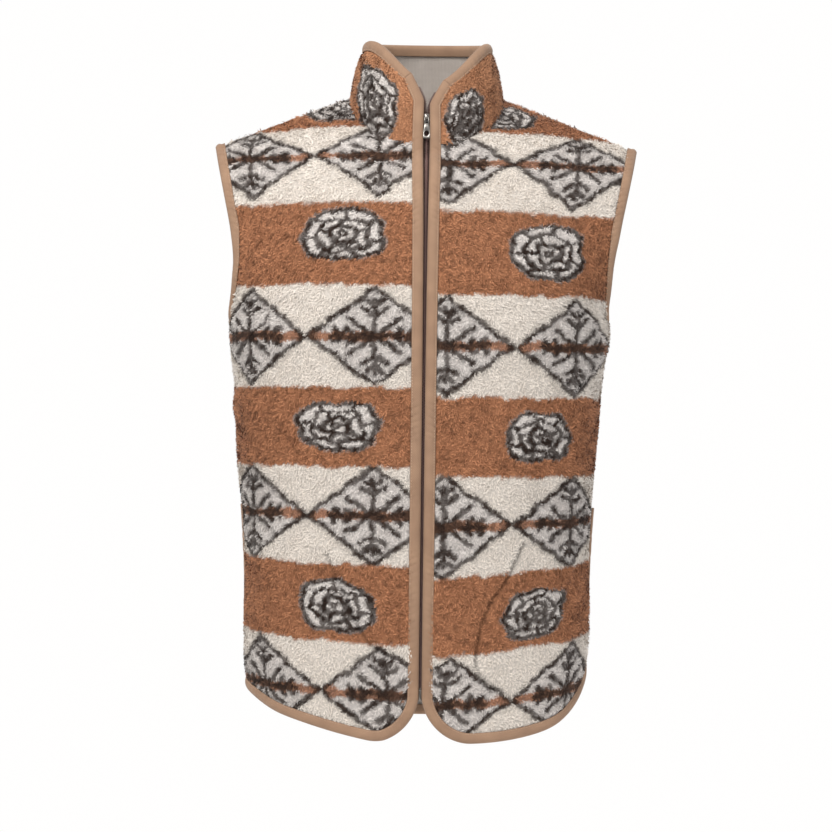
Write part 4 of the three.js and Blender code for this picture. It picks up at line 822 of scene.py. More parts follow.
def lean_to_collar(panel, side, row, points, normals):
    """Near the neck seam the normals turn to the mean of body and collar, so that their piles meet."""
    start, neck_row = (FRONT_ANGLE, FRONT_NECK_ROW) if panel == "front" else (180.0, BACK_NECK_ROW)
    angle = lerp(start, SHOULDER_ANGLE, np.clip((row[:, :1] - neck_row) / (1 - neck_row), 0, 1))
    share = (angle - FRONT_ANGLE) / (180 - FRONT_ANGLE)
    collar = collar_normal(side, share, np.full_like(share, 0.02))
    to_end = np.linalg.norm(points - neck_seam(np.array(start)) * [side, 1, 1], axis=-1)
    to_seam = np.linalg.norm(points - points[:, :1], axis=-1)
    near = np.where(row > neck_row, to_seam, to_end)
    return unit(normals + collar * smooth(1 - near / SEAM_LEAN)[..., None])


def edge_distance(panel, side, row, points, inward):
    """Distance to the nearest of the armhole, the hem and, on a front, the zip's edge. Near the hem it is
    the distance to the nearest point of the lowest row, which runs round the front's corner."""
    underarm = np.abs(row[:, -1] - UNDERARM_ROW).argmin()
    to_underarm = np.linalg.norm(points - points[underarm, -1], axis=-1)
    to_armhole = np.where(row >= UNDERARM_ROW, inward[:, -1:] - inward, to_underarm)
    to_hem = along(points, 0)
    low = slice(0, NEAR_HEM_ROWS)
    to_hem[low] = np.linalg.norm(points[low, :, None] - points[0], axis=-1).min(-1)
    near = np.minimum(to_armhole, to_hem)
    if panel == "back":
        return near
    top = neck_seam(np.array(FRONT_ANGLE)) * [side, 1, 1]
    to_zip = np.where(row <= FRONT_NECK_ROW, inward, np.linalg.norm(points - top, axis=-1))
    return np.minimum(near, to_zip)


def collar_grid():
    """A grid of places over the whole collar, from the left front edge round to the right one. On the
    right half u is negative."""
    up = np.linspace(0, 1, COLLAR_ROWS)
    half = even_shares(lambda a, b: collar_sheet(LEFT, a, b), COLLAR_COLUMNS // 2 + 1, up)
    share = np.concatenate([half, 2 - half[:, -2::-1]], 1)
    points = collar_sheet(LEFT, share, np.broadcast_to(up[:, None], share.shape))
    points[0, :, 2] += SEAM_GAP
    round_it, climbed = along(points, 1), along(points, 0)
    from_right = round_it[:, -1:] - round_it
    return dict(
        points=points,
        normals=grid_normals(points, collar_outward),
        u=np.where(share <= 1, round_it, -from_right),
        v=climbed,
        edge=np.minimum(np.minimum(round_it, from_right), climbed[-1:] - climbed),
        groove=np.zeros_like(share),
    )


# Pile

# Stitched lines that hold the pocket bags, as places on the cloth from the bottom up
BAG_SEAM = {
    "front_left": table("v u", [
        (-633, 95), (-627, 85), (-605, 70), (-578, 69), (-547, 75), (-524, 88), (-482, 109)]),
    "front_right": table("v u", [(-600, 46), (-581, 68), (-545, 80), (-510, 94), (-495, 101)]),
}
# BAG_GROOVE_SHADE is painted shade: how much darker the pile is coloured in the groove along the pocket bag's
# stitches
BAG_GROOVE_WIDTH, BAG_GROOVE_DEPTH, BAG_GROOVE_SHADE = 2.4, 2.6, 0.5
# Painted shade: the foot of the pile is coloured darker, as the shade that falls between the fibres
FOOT_SHADE = 0.76  # how much darker the foot of the pile looks, between the fibres
OUTER_STRIP, INNER_STRIP = (0.0, 0.8), (0.82, 0.18)  # start and width of each side's strip of the map


def fullness(edge):
    """From 0 where a tape squashes the pile to 1 where it stands free."""
    return smooth((edge - TAPER_FROM) / (TAPER_TO - TAPER_FROM))


def bag_groove(cut, u, v):
    """How much the pile is pulled down along the pocket bag's stitches, from 0 to 1."""
    if cut not in BAG_SEAM:
        return np.zeros_like(u)
    line_v = np.linspace(BAG_SEAM[cut]["v"][0], BAG_SEAM[cut]["v"][-1], 60)
    line_u = look_up(BAG_SEAM[cut], "v", line_v)["u"]
    gap = np.sqrt((u[..., None] - line_u) ** 2 + (v[..., None] - line_v) ** 2).min(-1)
    return np.exp(-((gap / BAG_GROOVE_WIDTH) ** 2))


def foot_height(cut, g):
    """Height of the dense foot of the pile over the cloth: full or squashed, in low uneven clumps."""
    full = fullness(g["edge"])
    x, y = g["u"] + 53.0 * sum(map(ord, cut)), g["v"]
    clumps = 0.55 * grain(x, y, 7.5, 6) + 0.4 * grain(x, y, 3.6, 7)
    return lerp(PILE_SQUASHED, PILE_BASE, full) + clumps * full - BAG_GROOVE_DEPTH * g["groove"]


def pile_wall(name, cut, grids):
    """The dense foot of the pile and the knitted wrong side, as one closed wall for each grid."""
    points, faces, slots, colours, maps, start = [], [], [], [], [], 0
    for k, g in enumerate(grids):
        rows, columns = g["u"].shape
        outer = g["points"] + g["normals"] * foot_height(cut, g)[..., None]
        inner = (g["points"] - g["normals"] * BACKING)[::COARSE, ::COARSE]
        block = np.concatenate([outer.reshape(-1, 3), inner.reshape(-1, 3)])
        walls = wall_faces(rows, columns, rows * columns, start)
        if winding(outer, g["normals"]) < 0:
            walls = [f[:, ::-1] for f in walls]
        points.append(block)
        faces += walls
        slots += [0] * len(walls[0]) + [1] * sum(map(len, walls[1:]))
        # The foot's colour gets painted shade: darker between the fibres, and darker still in the pocket
        # bag's groove
        shade = FOOT_SHADE * (1 - BAG_GROOVE_SHADE * g["groove"])
        foot_colour = (pile_colour(cut, g["u"], g["v"]) * shade[..., None]).reshape(-1, 3)
        colours += [foot_colour, np.broadcast_to(WRONG_SIDE, (inner.size // 3, 3))]
        maps += [place_map(outer.shape, k, len(grids), *OUTER_STRIP),
                 place_map(inner.shape, k, len(grids), *INNER_STRIP)]
        start += len(block)
    piece = mesh_object(name, np.concatenate(points), faces, [PILE_FOOT, WRONG_SIDE_KNIT])
    piece.data.polygons.foreach_set("material_index", slots)
    colour_points(piece, np.concatenate(colours))
    lay_map(piece, np.concatenate(maps))
    return piece


def winding(points, normals):
    """Above 0 where a grid's quads face the way of its normals."""
    a = points[:-1, 1:] - points[:-1, :-1]
    b = points[1:, :-1] - points[:-1, :-1]
    return (np.cross(a, b) * normals[:-1, :-1]).sum()


def place_map(shape, k, count, low, width):
    """Map places of a grid of points, in its own strip of the map."""
    up, across = np.linspace(0.002, 0.998, shape[0]), np.linspace(0.004, 0.996, shape[1])
    j, i = np.meshgrid(up, across, indexing="ij")
    return np.stack([low + width * (k + i) / count, j], -1).reshape(-1, 2)


TUFT_LENGTH, TUFT_HEIGHT, TUFT_WIDTH = 4.8, 2.7, 1.3
TUFTS_FROM = TAPER_FROM - 0.6  # from a bound edge
ROOT_SUNK = 0.5  # into the foot of the pile
# Painted shade and light along each tuft: darker at its root and middle, lighter at its tip
ROOT_SHADE, MIDDLE_SHADE, TIP_SHADE = 0.8, 0.95, 1.1
PALE = 0.6  # red of a dye above which it is a pale one
UNEVEN, UNEVEN_PALE = 0.24, 0.08  # how much the shades of single tufts differ
LANDING = 0.45  # of its length, where a tuft's middle lies beside its root


def pick(values, j, i):
    """A grid's values between its points, by their nearest four."""
    a, b = np.floor(j).astype(int), np.floor(i).astype(int)
    a, b = np.minimum(a, values.shape[0] - 2), np.minimum(b, values.shape[1] - 2)
    s, t = j - a, i - b
    if values.ndim == 3:
        s, t = s[..., None], t[..., None]
    return lerp(lerp(values[a, b], values[a, b + 1], t), lerp(values[a + 1, b], values[a + 1, b + 1], t), s)


def tufts(name, cut, g, across, down, seed):
    """Loose curly ends of the pile. Each is a ribbon of three triangles that stands up at its root and
    bends over along the cloth, mostly downwards, in drifts with its neighbours. Their roots are spread
    evenly with a random shift, and each takes the pattern's colour at the place where it comes to lie."""
    rng = np.random.default_rng(seed)
    rows, columns = g["u"].shape
    j = (np.arange(down)[:, None] + rng.uniform(0, 1, (down, across))) * (rows - 1) / down
    i = (np.arange(across) + rng.uniform(0, 1, (down, across))) * (columns - 1) / across
    to_side, to_top = np.gradient(g["points"], axis=1), np.gradient(g["points"], axis=0)
    room = np.linalg.norm(np.cross(to_side, to_top), axis=-1)
    crowding = pick(room, j, i) / np.quantile(room, 0.8)
    keep = (pick(g["edge"], j, i) > TUFTS_FROM) & (rng.uniform(0, 1, j.shape) < crowding)
    j, i = j[keep], i[keep]
    n, side, low = (unit(pick(x, j, i)) for x in (g["normals"], to_side, -to_top))
    u, v, full = (pick(x, j, i) for x in (g["u"], g["v"], fullness(g["edge"])))
    tall = lerp(0.45, 1, full) * (1 - 0.6 * pick(g["groove"], j, i))
    root = pick(g["points"], j, i) + n * (pick(foot_height(cut, g), j, i) - ROOT_SUNK)[:, None]
    x, y = u + 17.0 * seed, v
    to_right = 1.1 * grain(x, y, 8, 8) + rng.normal(0, 0.45, u.shape)
    to_hem = 0.45 + 0.9 * grain(x, y, 8, 9) + rng.normal(0, 0.45, u.shape)
    way = unit(side * to_right[:, None] + low * to_hem[:, None])
    beside = np.cross(n, way)
    column = lambda low, high: rng.uniform(low, high, u.shape)[:, None]
    length = TUFT_LENGTH * tall[:, None] * column(0.65, 1.2)
    height = TUFT_HEIGHT * tall[:, None] * column(0.6, 1.25)
    half = TUFT_WIDTH / 2 * column(0.7, 1.25) * beside
    curl = rng.normal(0, 0.2, u.shape)[:, None] * length * beside
    middle = root + n * height * 0.72 + way * length * 0.3
    tip = root + n * height * 0.9 + way * length * 0.85 + curl
    points = np.stack([root - half, root + half, middle - half * 0.9, middle + half * 0.9, tip], 1)
    leaning, upright = unit(n * 0.85 - way * 0.35), unit(n - way * 0.15)
    at_tip = unit(n + way * 0.1 + beside * column(-0.4, 0.4))
    normals = np.stack([leaning, leaning, upright, upright, at_tip], 1)
    stray = rng.normal(0, 0.45, (2, *u.shape))
    reach = LANDING * length[:, 0] / np.hypot(to_right, to_hem)
    lies_u = u + reach * to_right * np.sign(np.median(np.diff(g["u"], axis=1)))
    dye_and_shade = pile_colour(cut, lies_u + stray[0], v - reach * to_hem + stray[1])
    dye_and_shade = dye_and_shade * (1 + column(-1, 1) * np.where(dye_and_shade[:, :1] < PALE, UNEVEN, UNEVEN_PALE))
    # Painted shade in the groove along the pocket bag's stitches
    dye_and_shade = dye_and_shade * (1 - BAG_GROOVE_SHADE * pick(g["groove"], j, i))[:, None]
    # Painted shade at the tuft's root and painted light at its tip
    shades = np.array([ROOT_SHADE, ROOT_SHADE, MIDDLE_SHADE, MIDDLE_SHADE, TIP_SHADE])
    colours = dye_and_shade[:, None] * shades[:, None]
    count = len(points)
    ribbon = np.array([[0, 1, 3], [0, 3, 2], [2, 3, 4]])
    a, b, c = (points[0, k] for k in ribbon[0])
    if np.cross(b - a, c - a) @ normals[0, 2] < 0:
        ribbon = ribbon[:, ::-1]
    faces = (np.arange(count)[:, None, None] * 5 + ribbon).reshape(-1, 3)
    piece = mesh_object(name, points.reshape(-1, 3), [faces], [PILE_ENDS])
    piece.data.normals_split_custom_set_from_vertices(normals.reshape(-1, 3).tolist())
    colour_points(piece, colours.reshape(-1, 3))
    cells = math.ceil(math.sqrt(count))
    corner = np.array([(0.15, 0.1), (0.85, 0.1), (0.2, 0.5), (0.8, 0.5), (0.5, 0.9)])
    cell = np.stack([np.arange(count) % cells, np.arange(count) // cells], -1)[:, None]
    lay_map(piece, ((cell + corner) / cells).reshape(-1, 2))
    return piece


# Tapes

# Section of a folded binding: how far in from the cloth's edge and how high over the backing, out over the
# pile, round the edge, back along the wrong side, and back along its own inside. It dips at its stitches.
TAPE_SECTION = table("inward height", [
    (8, 2.2), (7.9, 3), (7.4, 3.4), (6.6, 3.2), (5.8, 3.8), (4.2, 4.4), (2.2, 4.6), (0.4, 4.4),
    (-1.7, 3.6), (-3.2, 2), (-3.7, -0.3), (-3.3, -2.5), (-1.7, -4.1), (0.8, -4.6), (4, -4.7), (7, -4.5),
    (7.9, -4.4), (8, -3.6), (4.4, -3.5), (-0.4, -3.4), (-1.8, -2), (-2, 0.8), (-0.8, 2.2), (4.4, 2.4),
])
STITCH_COLUMN = 3  # the point of the section that the stitches run along
TAPE_STEP = 1.5  # length of tape between two rings
TAPE_END = 1.3  # from a hem tape's end to the side seam
END_TURN = 14.0  # length of tape over which its end turns square to the side seam
FRONT_TOP_ROW = FRONT_NECK_ROW - 0.004  # where a run up a front ends, just under the neck seam
COLLAR_FROM = 0.05  # where it goes on, just above the seam
NEAREST_STEPS, NEAREST_REACH = 5, 0.002  # Newton's steps, and the half width of their differences
PUCKER_PITCH, PUCKER_SLANT, PUCKER_DEPTH = 7.2, 0.45, 2.0
# Heights where the tape is bunched, and how far that reaches up and down
BUNCHED = table("z reach", [(-352, 26), (-72, 22), (-128, 30), (-505, 20)])
POCKET_SECTION = table("inward height", [
    (5, 4.8), (5.2, 6), (6.4, 6.8), (7.5, 7.2), (10, 7.6), (12.5, 7.2), (13.6, 6.8), (14.8, 6), (15, 4.8),
    (12, 4.9), (8, 4.9),
])
POCKET_TOP, POCKET_BOTTOM = -446.0, -572.0
POCKET_SUNK = {LEFT: (0.3, 3.2), RIGHT: (2.6, 2.6)}  # how deep the tape lies in the pile, at top and bottom
POCKET_RINGS, POCKET_PLACES, POCKET_SHARE = 43, 60, 0.85  # along the tape, and across the cloth to a share
POCKET_MIDDLE, POCKET_STITCHED = 4, (2, 6)  # points of the section on its middle line and under stitches


def stretch(cut, side, share, up):
    """A stretch of edge on one cut piece, as places on its cloth one step apart."""
    if cut == "collar":
        sheet = lambda a, b: collar_sheet(LEFT, a, b)
        normal = lambda a, b: collar_normal(LEFT, a, b)
        low, high = (0.0, 0.0), (2.0, 1.0)
    else:
        sheet = lambda a, b: body_sheet(cut, side, a, b)
        normal = lambda a, b: body_normal(cut, side, a, b)
        low, high = (-1.0 if cut == "back" else 0.0, 0.0), (1.0, 1.0)
    share, up = np.broadcast_arrays(np.asarray(share, float), np.asarray(up, float))
    length = along(sheet(share, up)[None], 1)[0]
    at = np.linspace(0, length[-1], max(2, round(length[-1] / TAPE_STEP) + 1))
    share, up = np.interp(at, length, share), np.interp(at, length, up)
    return dict(sheet=sheet, normal=normal, low=low, high=high, share=share, up=up)


def soften(values, reach, is_loop):
    """Mean of each row of values with its neighbours, made unit length again."""
    if is_loop:
        padded = np.concatenate([values[-reach:], values, values[:reach]])
    else:
        padded = np.concatenate([values[:1].repeat(reach, 0), values, values[-1:].repeat(reach, 0)])
    return unit(sum(padded[k : k + len(values)] for k in range(2 * reach + 1)))


def edge_run(stretches, is_loop=False):
    """The edge along some stretches: its points, the cloth's normals, the directions out of the cloth and
    the length so far. Out is square to the edge and to the normal, away from the cloth's middle."""
    points = np.concatenate([s["sheet"](s["share"], s["up"]) for s in stretches])
    normal = soften(np.concatenate([s["normal"](s["share"], s["up"]) for s in stretches]), 2, is_loop)
    steps = np.roll(points, -1, 0) - np.roll(points, 1, 0) if is_loop else np.gradient(points, axis=0)
    outward = unit(np.cross(soften(steps, 1, is_loop), normal))
    to_middle = []
    for s in stretches:
        (a_low, b_low), (a_high, b_high) = s["low"], s["high"]
        a, b = lerp(s["share"], (a_low + a_high) / 2, 0.04), lerp(s["up"], (b_low + b_high) / 2, 0.04)
        to_middle.append(s["sheet"](a, b))
    outward *= -np.sign((outward * (np.concatenate(to_middle) - points)).sum())
    length = np.concatenate([[0], np.cumsum(np.linalg.norm(np.diff(points, axis=0), axis=1))])
    return dict(points=points, normal=normal, outward=outward, length=length, stretches=stretches)


def nearest(s, target):
    """Newton's steps from a stretch's places to the places on its cloth that are nearest to targets."""
    share, up = s["share"], s["up"]
    (a_low, b_low), (a_high, b_high) = s["low"], s["high"]
    h = NEAREST_REACH
    for _ in range(NEAREST_STEPS):
        a1, a0 = np.clip(share + h, a_low, a_high), np.clip(share - h, a_low, a_high)
        b1, b0 = np.clip(up + h, b_low, b_high), np.clip(up - h, b_low, b_high)
        du = (s["sheet"](a1, up) - s["sheet"](a0, up)) / (a1 - a0)[..., None]
        dv = (s["sheet"](share, b1) - s["sheet"](share, b0)) / (b1 - b0)[..., None]
        gap = target - s["sheet"](share, up)
        uu, uv, vv = (du * du).sum(-1), (du * dv).sum(-1), (dv * dv).sum(-1)
        gu, gv = (du * gap).sum(-1), (dv * gap).sum(-1)
        whole = uu * vv - uv * uv
        share = np.clip(share + (gu * vv - gv * uv) / whole, a_low, a_high)
        up = np.clip(up + (gv * uu - gu * uv) / whole, b_low, b_high)
    return s["sheet"](share, up)


def beside_edge(run, inward, height):
    """Places beside an edge: inward along the cloth, or straight out of it, and up from the backing."""
    inward = np.broadcast_to(np.asarray(inward, float), run["length"].shape)[:, None]
    flat = run["points"] - run["outward"] * inward
    placed, start = [], 0
    for s in run["stretches"]:
        placed.append(nearest(s, flat[start : start + len(s["share"])]))
        start += len(s["share"])
    on_cloth = np.where(inward > 0, np.concatenate(placed), flat)
    return on_cloth + run["normal"] * np.broadcast_to(height, run["length"].shape)[:, None]


def pucker(length, inward, z):
    """Small slanting folds that the stitches pull into the tape: a low wave with a narrow crease in each.
    They are stronger in some stretches, and strongest at the heights where the tape is bunched."""
    strength = 0.2 + 0.5 * smooth(1.6 * grain(length, length * 0 + 3.0, 60, 10))
    bunched = np.exp(-(((z[:, None] - BUNCHED["z"]) / BUNCHED["reach"]) ** 4)).max(-1)
    strength = np.maximum(strength, bunched)
    drift = PUCKER_SLANT * inward + 2.5 * grain(length, length * 0, 17, 11)
    wave = np.sin(2 * np.pi * (length + drift) / PUCKER_PITCH)
    fold = 0.2 * wave - np.maximum(wave, 0) ** 3
    return PUCKER_DEPTH * strength * fold * (0.35 + 0.65 * smooth((inward + 3) / 9))


def tape_rings(run):
    """The section's points at each place of a run. Its outside has the small folds."""
    rings = []
    for inward, height in zip(TAPE_SECTION["inward"], TAPE_SECTION["height"]):
        folds = pucker(run["length"], inward, run["points"][:, 2]) if height > 2.6 else 0
        rings.append(beside_edge(run, inward, height + folds))
    return np.stack(rings, 1)


def square_to_seam(run, side, at_end):
    """Turns a hem tape's end so that it is cut square to the side seam."""
    from_end = run["length"][-1] - run["length"] if at_end else run["length"]
    w = smooth(1 - from_end / END_TURN)[:, None]
    run["normal"] = unit(lerp(run["normal"], np.array([side, 0.0, 0.0]), w))
    run["outward"] = unit(lerp(run["outward"], np.array([0.0, 0.0, -1.0]), w))


def tube(name, rings, length, material, is_loop=False):
    """A closed tube through rings of points, with flat ends, and a map of it in metres: the length along
    the tape and the length round its section."""
    count, size = rings.shape[:2]
    j, i = np.meshgrid(np.arange(count if is_loop else count - 1), np.arange(size), indexing="ij")
    along_corner = np.stack([j, j, j + 1, j + 1], -1).reshape(-1, 4)
    round_corner = np.stack([i, i + 1, i + 1, i], -1).reshape(-1, 4)
    faces = [along_corner % count * size + round_corner % size]
    step = length[-1] - length[-2]
    lengths = np.append(length, length[-1] + step)
    section = rings[count // 2]
    around = np.linalg.norm(np.roll(section, -1, 0) - section, axis=1)
    around = np.concatenate([[0], np.cumsum(around)])
    corner_map = np.stack([lengths[along_corner], around[round_corner]], -1).reshape(-1, 2)
    if not is_loop:
        end = np.arange(size)[None]
        faces += [end, end[:, ::-1] + (count - 1) * size]
        for k, n in ((0, end[0]), (count - 1, end[0, ::-1])):
            flat = np.stack([np.full(size, length[k]) + 1e-3 * n, around[n]], -1)
            corner_map = np.concatenate([corner_map, flat])
    piece = mesh_object(name, rings.reshape(-1, 3), faces, [material])
    layer = piece.data.uv_layers.new(name="tape_length")
    layer.uv.foreach_set("vector", (corner_map * MM).astype(np.float32).ravel())
    return turned_out(piece)


def turned_out(piece):
    """Points all faces outwards."""
    mesh = bmesh.new()
    mesh.from_mesh(piece.data)
    bmesh.ops.recalc_face_normals(mesh, faces=mesh.faces)
    mesh.to_mesh(piece.data)
    mesh.free()
    return piece


def tubes(centre, across, up, size):
    """Points and faces of many closed tubes: a ring of points round each centre, by cosine along across
    and by sine along up."""
    turn = 2 * np.pi * np.arange(size)[:, None] / size
    points = centre[..., None, :] + np.cos(turn) * across[..., None, :] + np.sin(turn) * up[..., None, :]
    count, rings = centre.shape[:2]
    start = (np.arange(count) * rings * size)[:, None, None]
    ends = np.stack([np.arange(size), (rings - 1) * size + np.arange(size)[::-1]])
    faces = [(ring_faces(rings, size) + start).reshape(-1, 4), (ends + start).reshape(-1, size)]
    return points.reshape(-1, 3), faces


# A stitch, from where its thread comes out of the tape to where it goes back in
STITCH_RINGS = table("way width lift", [
    (-1.15, 0.12, -0.35), (-0.7, 0.3, 0.12), (0.7, 0.3, 0.12), (1.15, 0.12, -0.35)])


def stitches(name, lines, normals):
    """Lockstitches along lines of points, one to each gap between two points: a short thread whose ends
    sink into the tape."""
    centre, way, up = [], [], []
    for line, normal in zip(lines, normals):
        centre.append((line[1:] + line[:-1]) / 2)
        way.append(unit(line[1:] - line[:-1]))
        up.append(unit(normal[1:] + normal[:-1]))
    centre, way, up = (np.concatenate(x)[:, None] for x in (centre, way, up))
    across = np.cross(way, up)
    s = {key: column[:, None] for key, column in STITCH_RINGS.items()}
    middle = centre + way * s["way"] + up * s["lift"]
    return turned_out(mesh_object(name, *tubes(middle, across * s["width"], up * s["width"], 4), [THREAD]))


def front_edge_path(side):
    """Places along a front's bound edge on its panel: from the side seam along the hem, round the lower
    corner and up the zip's edge to the neck."""
    share = (1 - TAPE_END / HALF_GIRTH) * np.linspace(1, 0, 900) ** 2
    row = lift_corner(side, share, np.zeros_like(share))
    rise = np.linspace(row[-1], FRONT_TOP_ROW, 700)[1:]
    return np.concatenate([share, np.zeros_like(rise)]), np.concatenate([row, rise])


def bound_side(side):
    """Run and rings of one side's whole bound edge, and the number of the ring at the collar's corner."""
    corner = 0.0 if side > 0 else 2.0
    up = np.linspace(COLLAR_FROM, 1, 200)
    stretches = [
        stretch("front", side, *front_edge_path(side)),
        stretch("collar", side, np.full_like(up, corner), up),
        stretch("collar", side, np.linspace(corner, 1, 500), 1.0),
    ]
    stretches[2]["share"], stretches[2]["up"] = stretches[2]["share"][1:], stretches[2]["up"][1:]
    run = edge_run(stretches)
    square_to_seam(run, side, False)
    run["outward"][-1, 0] = run["normal"][-1, 0] = 0
    return run, tape_rings(run), len(stretches[0]["share"]) + len(stretches[1]["share"]) - 1


def nudged(rings, towards):
    """A ring moved half a seam gap towards another."""
    return rings + unit((towards - rings).mean(0)) * SEAM_GAP / 2


# Zip

CHAIN_FRONT, CHAIN_BACK, CHAIN_BOTTOM = -3.0, -5.6, -634.0
WEB_INNER, WEB_OUTER, WEB_FRONT, WEB_BACK, WEB_BOTTOM = 0.5, 17.0, -4.85, -5.7, -645.0
BOX_HALF_WIDTH, BOX_BOTTOM, BOX_TOP, BOX_BACK, BOX_FRONT, BOX_BEVEL = 2.2, -647.0, -635.0, -6.0, -2.7, 0.4
PARTING_FROM, PARTING_TO, PARTING_DISTANCE = -32.0, -29.5, 1.2
ZIP_TOP_SHARE = 0.84  # of the collar's height
TOOTH_PITCH = 1.6
# A tooth from its root on the tape to its head past the middle line
TOOTH_RINGS = table("distance width height", [
    (2.1, 0.3, 0.5), (1.5, 0.42, 0.8), (0.1, 0.4, 0.75), (-0.5, 0.62, 0.7)])
SLIDER_Z, SLIDER_LENGTH, SLIDER_HALF, PLATE, PLATE_GAP = -30.5, 9.0, 3.8, 1.2, 1.0
PLATE_FRONT = CHAIN_FRONT + PLATE_GAP + PLATE
PLATE_BACK = CHAIN_BACK - PLATE_GAP - PLATE
BRIDGE_CLEAR, BRIDGE_BAR, BRIDGE_LENGTH = 2.8, 1.2, 6.6
PIN_HEIGHT = PLATE_FRONT + BRIDGE_CLEAR / 2
PULL_ARM_LENGTH, PULL_LENGTH, PULL_THICKNESS = 7.0, 23.0, 1.3


def zip_run(side, bottom):
    """The zip's edge from a lowest height up to its top. Below the slider's parting its frame is square to
    the middle plane; above, the distance from the middle to the cloth's edge stays as it was there."""
    lowest = row_at_height(bottom - HEM_Z)
    up = np.linspace(COLLAR_FROM, ZIP_TOP_SHARE, 200)
    run = edge_run([
        stretch("front", side, 0.0, np.linspace(lowest, FRONT_TOP_ROW, 700)),
        stretch("collar", side, np.full_like(up, 0.0 if side > 0 else 2.0), up),
    ])
    z = run["points"][:, 2]
    closed = z <= PARTING_TO
    run["normal"] = unit(np.where(closed[:, None], run["normal"] * [0, 1, 1], run["normal"]))
    run["outward"] = np.where(closed[:, None], np.array([-side, 0.0, 0.0]), run["outward"])
    x = np.abs(run["points"][:, 0])
    run["edge"] = np.where(closed, x, x[closed][-1])
    run["apart"] = PARTING_DISTANCE * smooth((z - PARTING_FROM) / (PARTING_TO - PARTING_FROM))
    return run


def beside_zip(run, distance, height):
    """Places at a distance from the zip's middle line and a height over the cloth's backing."""
    return beside_edge(run, distance + run["apart"] - run["edge"], height)


def web(name, side):
    """Woven tape of the zip: a thin strip with a thicker ridge beside the teeth."""
    run = zip_run(side, WEB_BOTTOM)
    outline = [
        (WEB_INNER, WEB_FRONT), (1.8, WEB_FRONT + 0.05), (3.2, WEB_FRONT + 0.12), (6, WEB_FRONT),
        (WEB_OUTER, WEB_FRONT), (WEB_OUTER, WEB_BACK), (8, WEB_BACK), (WEB_INNER, WEB_BACK)]
    rings = np.stack([beside_zip(run, distance, height) for distance, height in outline], 1)
    return tube(name, rings, run["length"], ZIP_WEB)


def teeth(name, side):
    """Coil of the zip: one bent tooth each pitch, with a wider head past the middle. The two sides' teeth
    stand half a pitch apart."""
    run = zip_run(side, CHAIN_BOTTOM)
    at = np.arange(TOOTH_PITCH * (0.5 if side > 0 else 1.0), run["length"][-1] - 1, TOOTH_PITCH)
    carried = lambda values: np.stack([np.interp(at, run["length"], values[:, k]) for k in range(3)], -1)
    middle_height = (CHAIN_FRONT + CHAIN_BACK) / 2 + 0.25
    centre = np.stack([carried(beside_zip(run, d, middle_height)) for d in TOOTH_RINGS["distance"]], 1)
    up = unit(carried(run["normal"]))[:, None]
    way = unit(carried(np.gradient(run["points"], axis=0)))[:, None]
    across, thick = way * TOOTH_RINGS["width"][:, None], up * TOOTH_RINGS["height"][:, None]
    return turned_out(mesh_object(name, *tubes(centre, across, thick, 6), [COIL]))


def zip_depth(z):
    """Depth of the collar's middle line in front at a height."""
    depths = []
    for side in (LEFT, RIGHT):
        up = (z - FRONT_NECK_Z) / (COLLAR_CORNER[side][1] - FRONT_NECK_Z)
        depths.append(collar_sheet(side, np.array(0.0), np.array(up))[1])
    return sum(depths) / 2


def on_zip_line(points):
    """Puts a piece that is made upright, with its height over the cloth as a third number, on the leaning
    front of the collar."""
    half = SLIDER_LENGTH / 2
    lean = math.atan2(zip_depth(SLIDER_Z + half) - zip_depth(SLIDER_Z - half), SLIDER_LENGTH)
    x, z, height = np.moveaxis(points, -1, 0)
    y = -height
    c, s = math.cos(lean), math.sin(lean)
    return np.stack([x, y * c + z * s, -y * s + z * c], -1) + [0, zip_depth(SLIDER_Z), SLIDER_Z]


def rounded(half_low, half_high, bottom, top, count=40, power=4.0):
    """A rounded outline, by powers of cosine and sine, whose half width changes from bottom to top."""
    turn = 2 * np.pi * np.arange(count) / count
    c, s = np.cos(turn), np.sin(turn)
    z = lerp(bottom, top, (np.sign(s) * np.abs(s) ** (2 / power) + 1) / 2)
    half = lerp(half_low, half_high, (z - bottom) / (top - bottom))
    return np.stack([half * np.sign(c) * np.abs(c) ** (2 / power), z], -1)


def plate(outline, back, front, bevel, hole=None):
    """Points and faces of a plate between two heights with bevelled rims, and with a hole in it if that is
    given as an outline with as many points."""
    def rims(line, into, heights):
        inner = line + unit(line.mean(0) - line) * bevel * into
        return [np.concatenate([l, np.full((len(l), 1), h)], 1)
                for l, h in zip((inner, line, line, inner), heights)]

    rings = rims(outline, 1, (back, back + bevel, front - bevel, front))
    size = len(outline)
    if hole is not None:
        rings += rims(hole, -1, (front, front - bevel, back + bevel, back))
        return np.concatenate(rings), [ring_faces(8, size, True)]
    ends = [np.arange(size)[None], np.arange(size)[None] + 3 * size]
    return np.concatenate(rings), [ring_faces(4, size)] + ends


def joined(parts):
    """Points and faces of several closed parts as one piece."""
    points, faces, start = [], [], 0
    for part_points, part_faces in parts:
        points.append(part_points)
        faces += [f + start for f in part_faces]
        start += len(part_points)
    return np.concatenate(points), faces


def bar(path, width, thickness, size=12):
    """A rod along a path of points, with a width along x and a thickness square to the path."""
    path = np.asarray(path, float)
    way = unit(np.gradient(path, axis=0))
    across = np.broadcast_to([1.0, 0, 0], path.shape)
    up = unit(np.cross(across, way))
    return tubes(path[None], across[None] * width, up[None] * thickness, size)


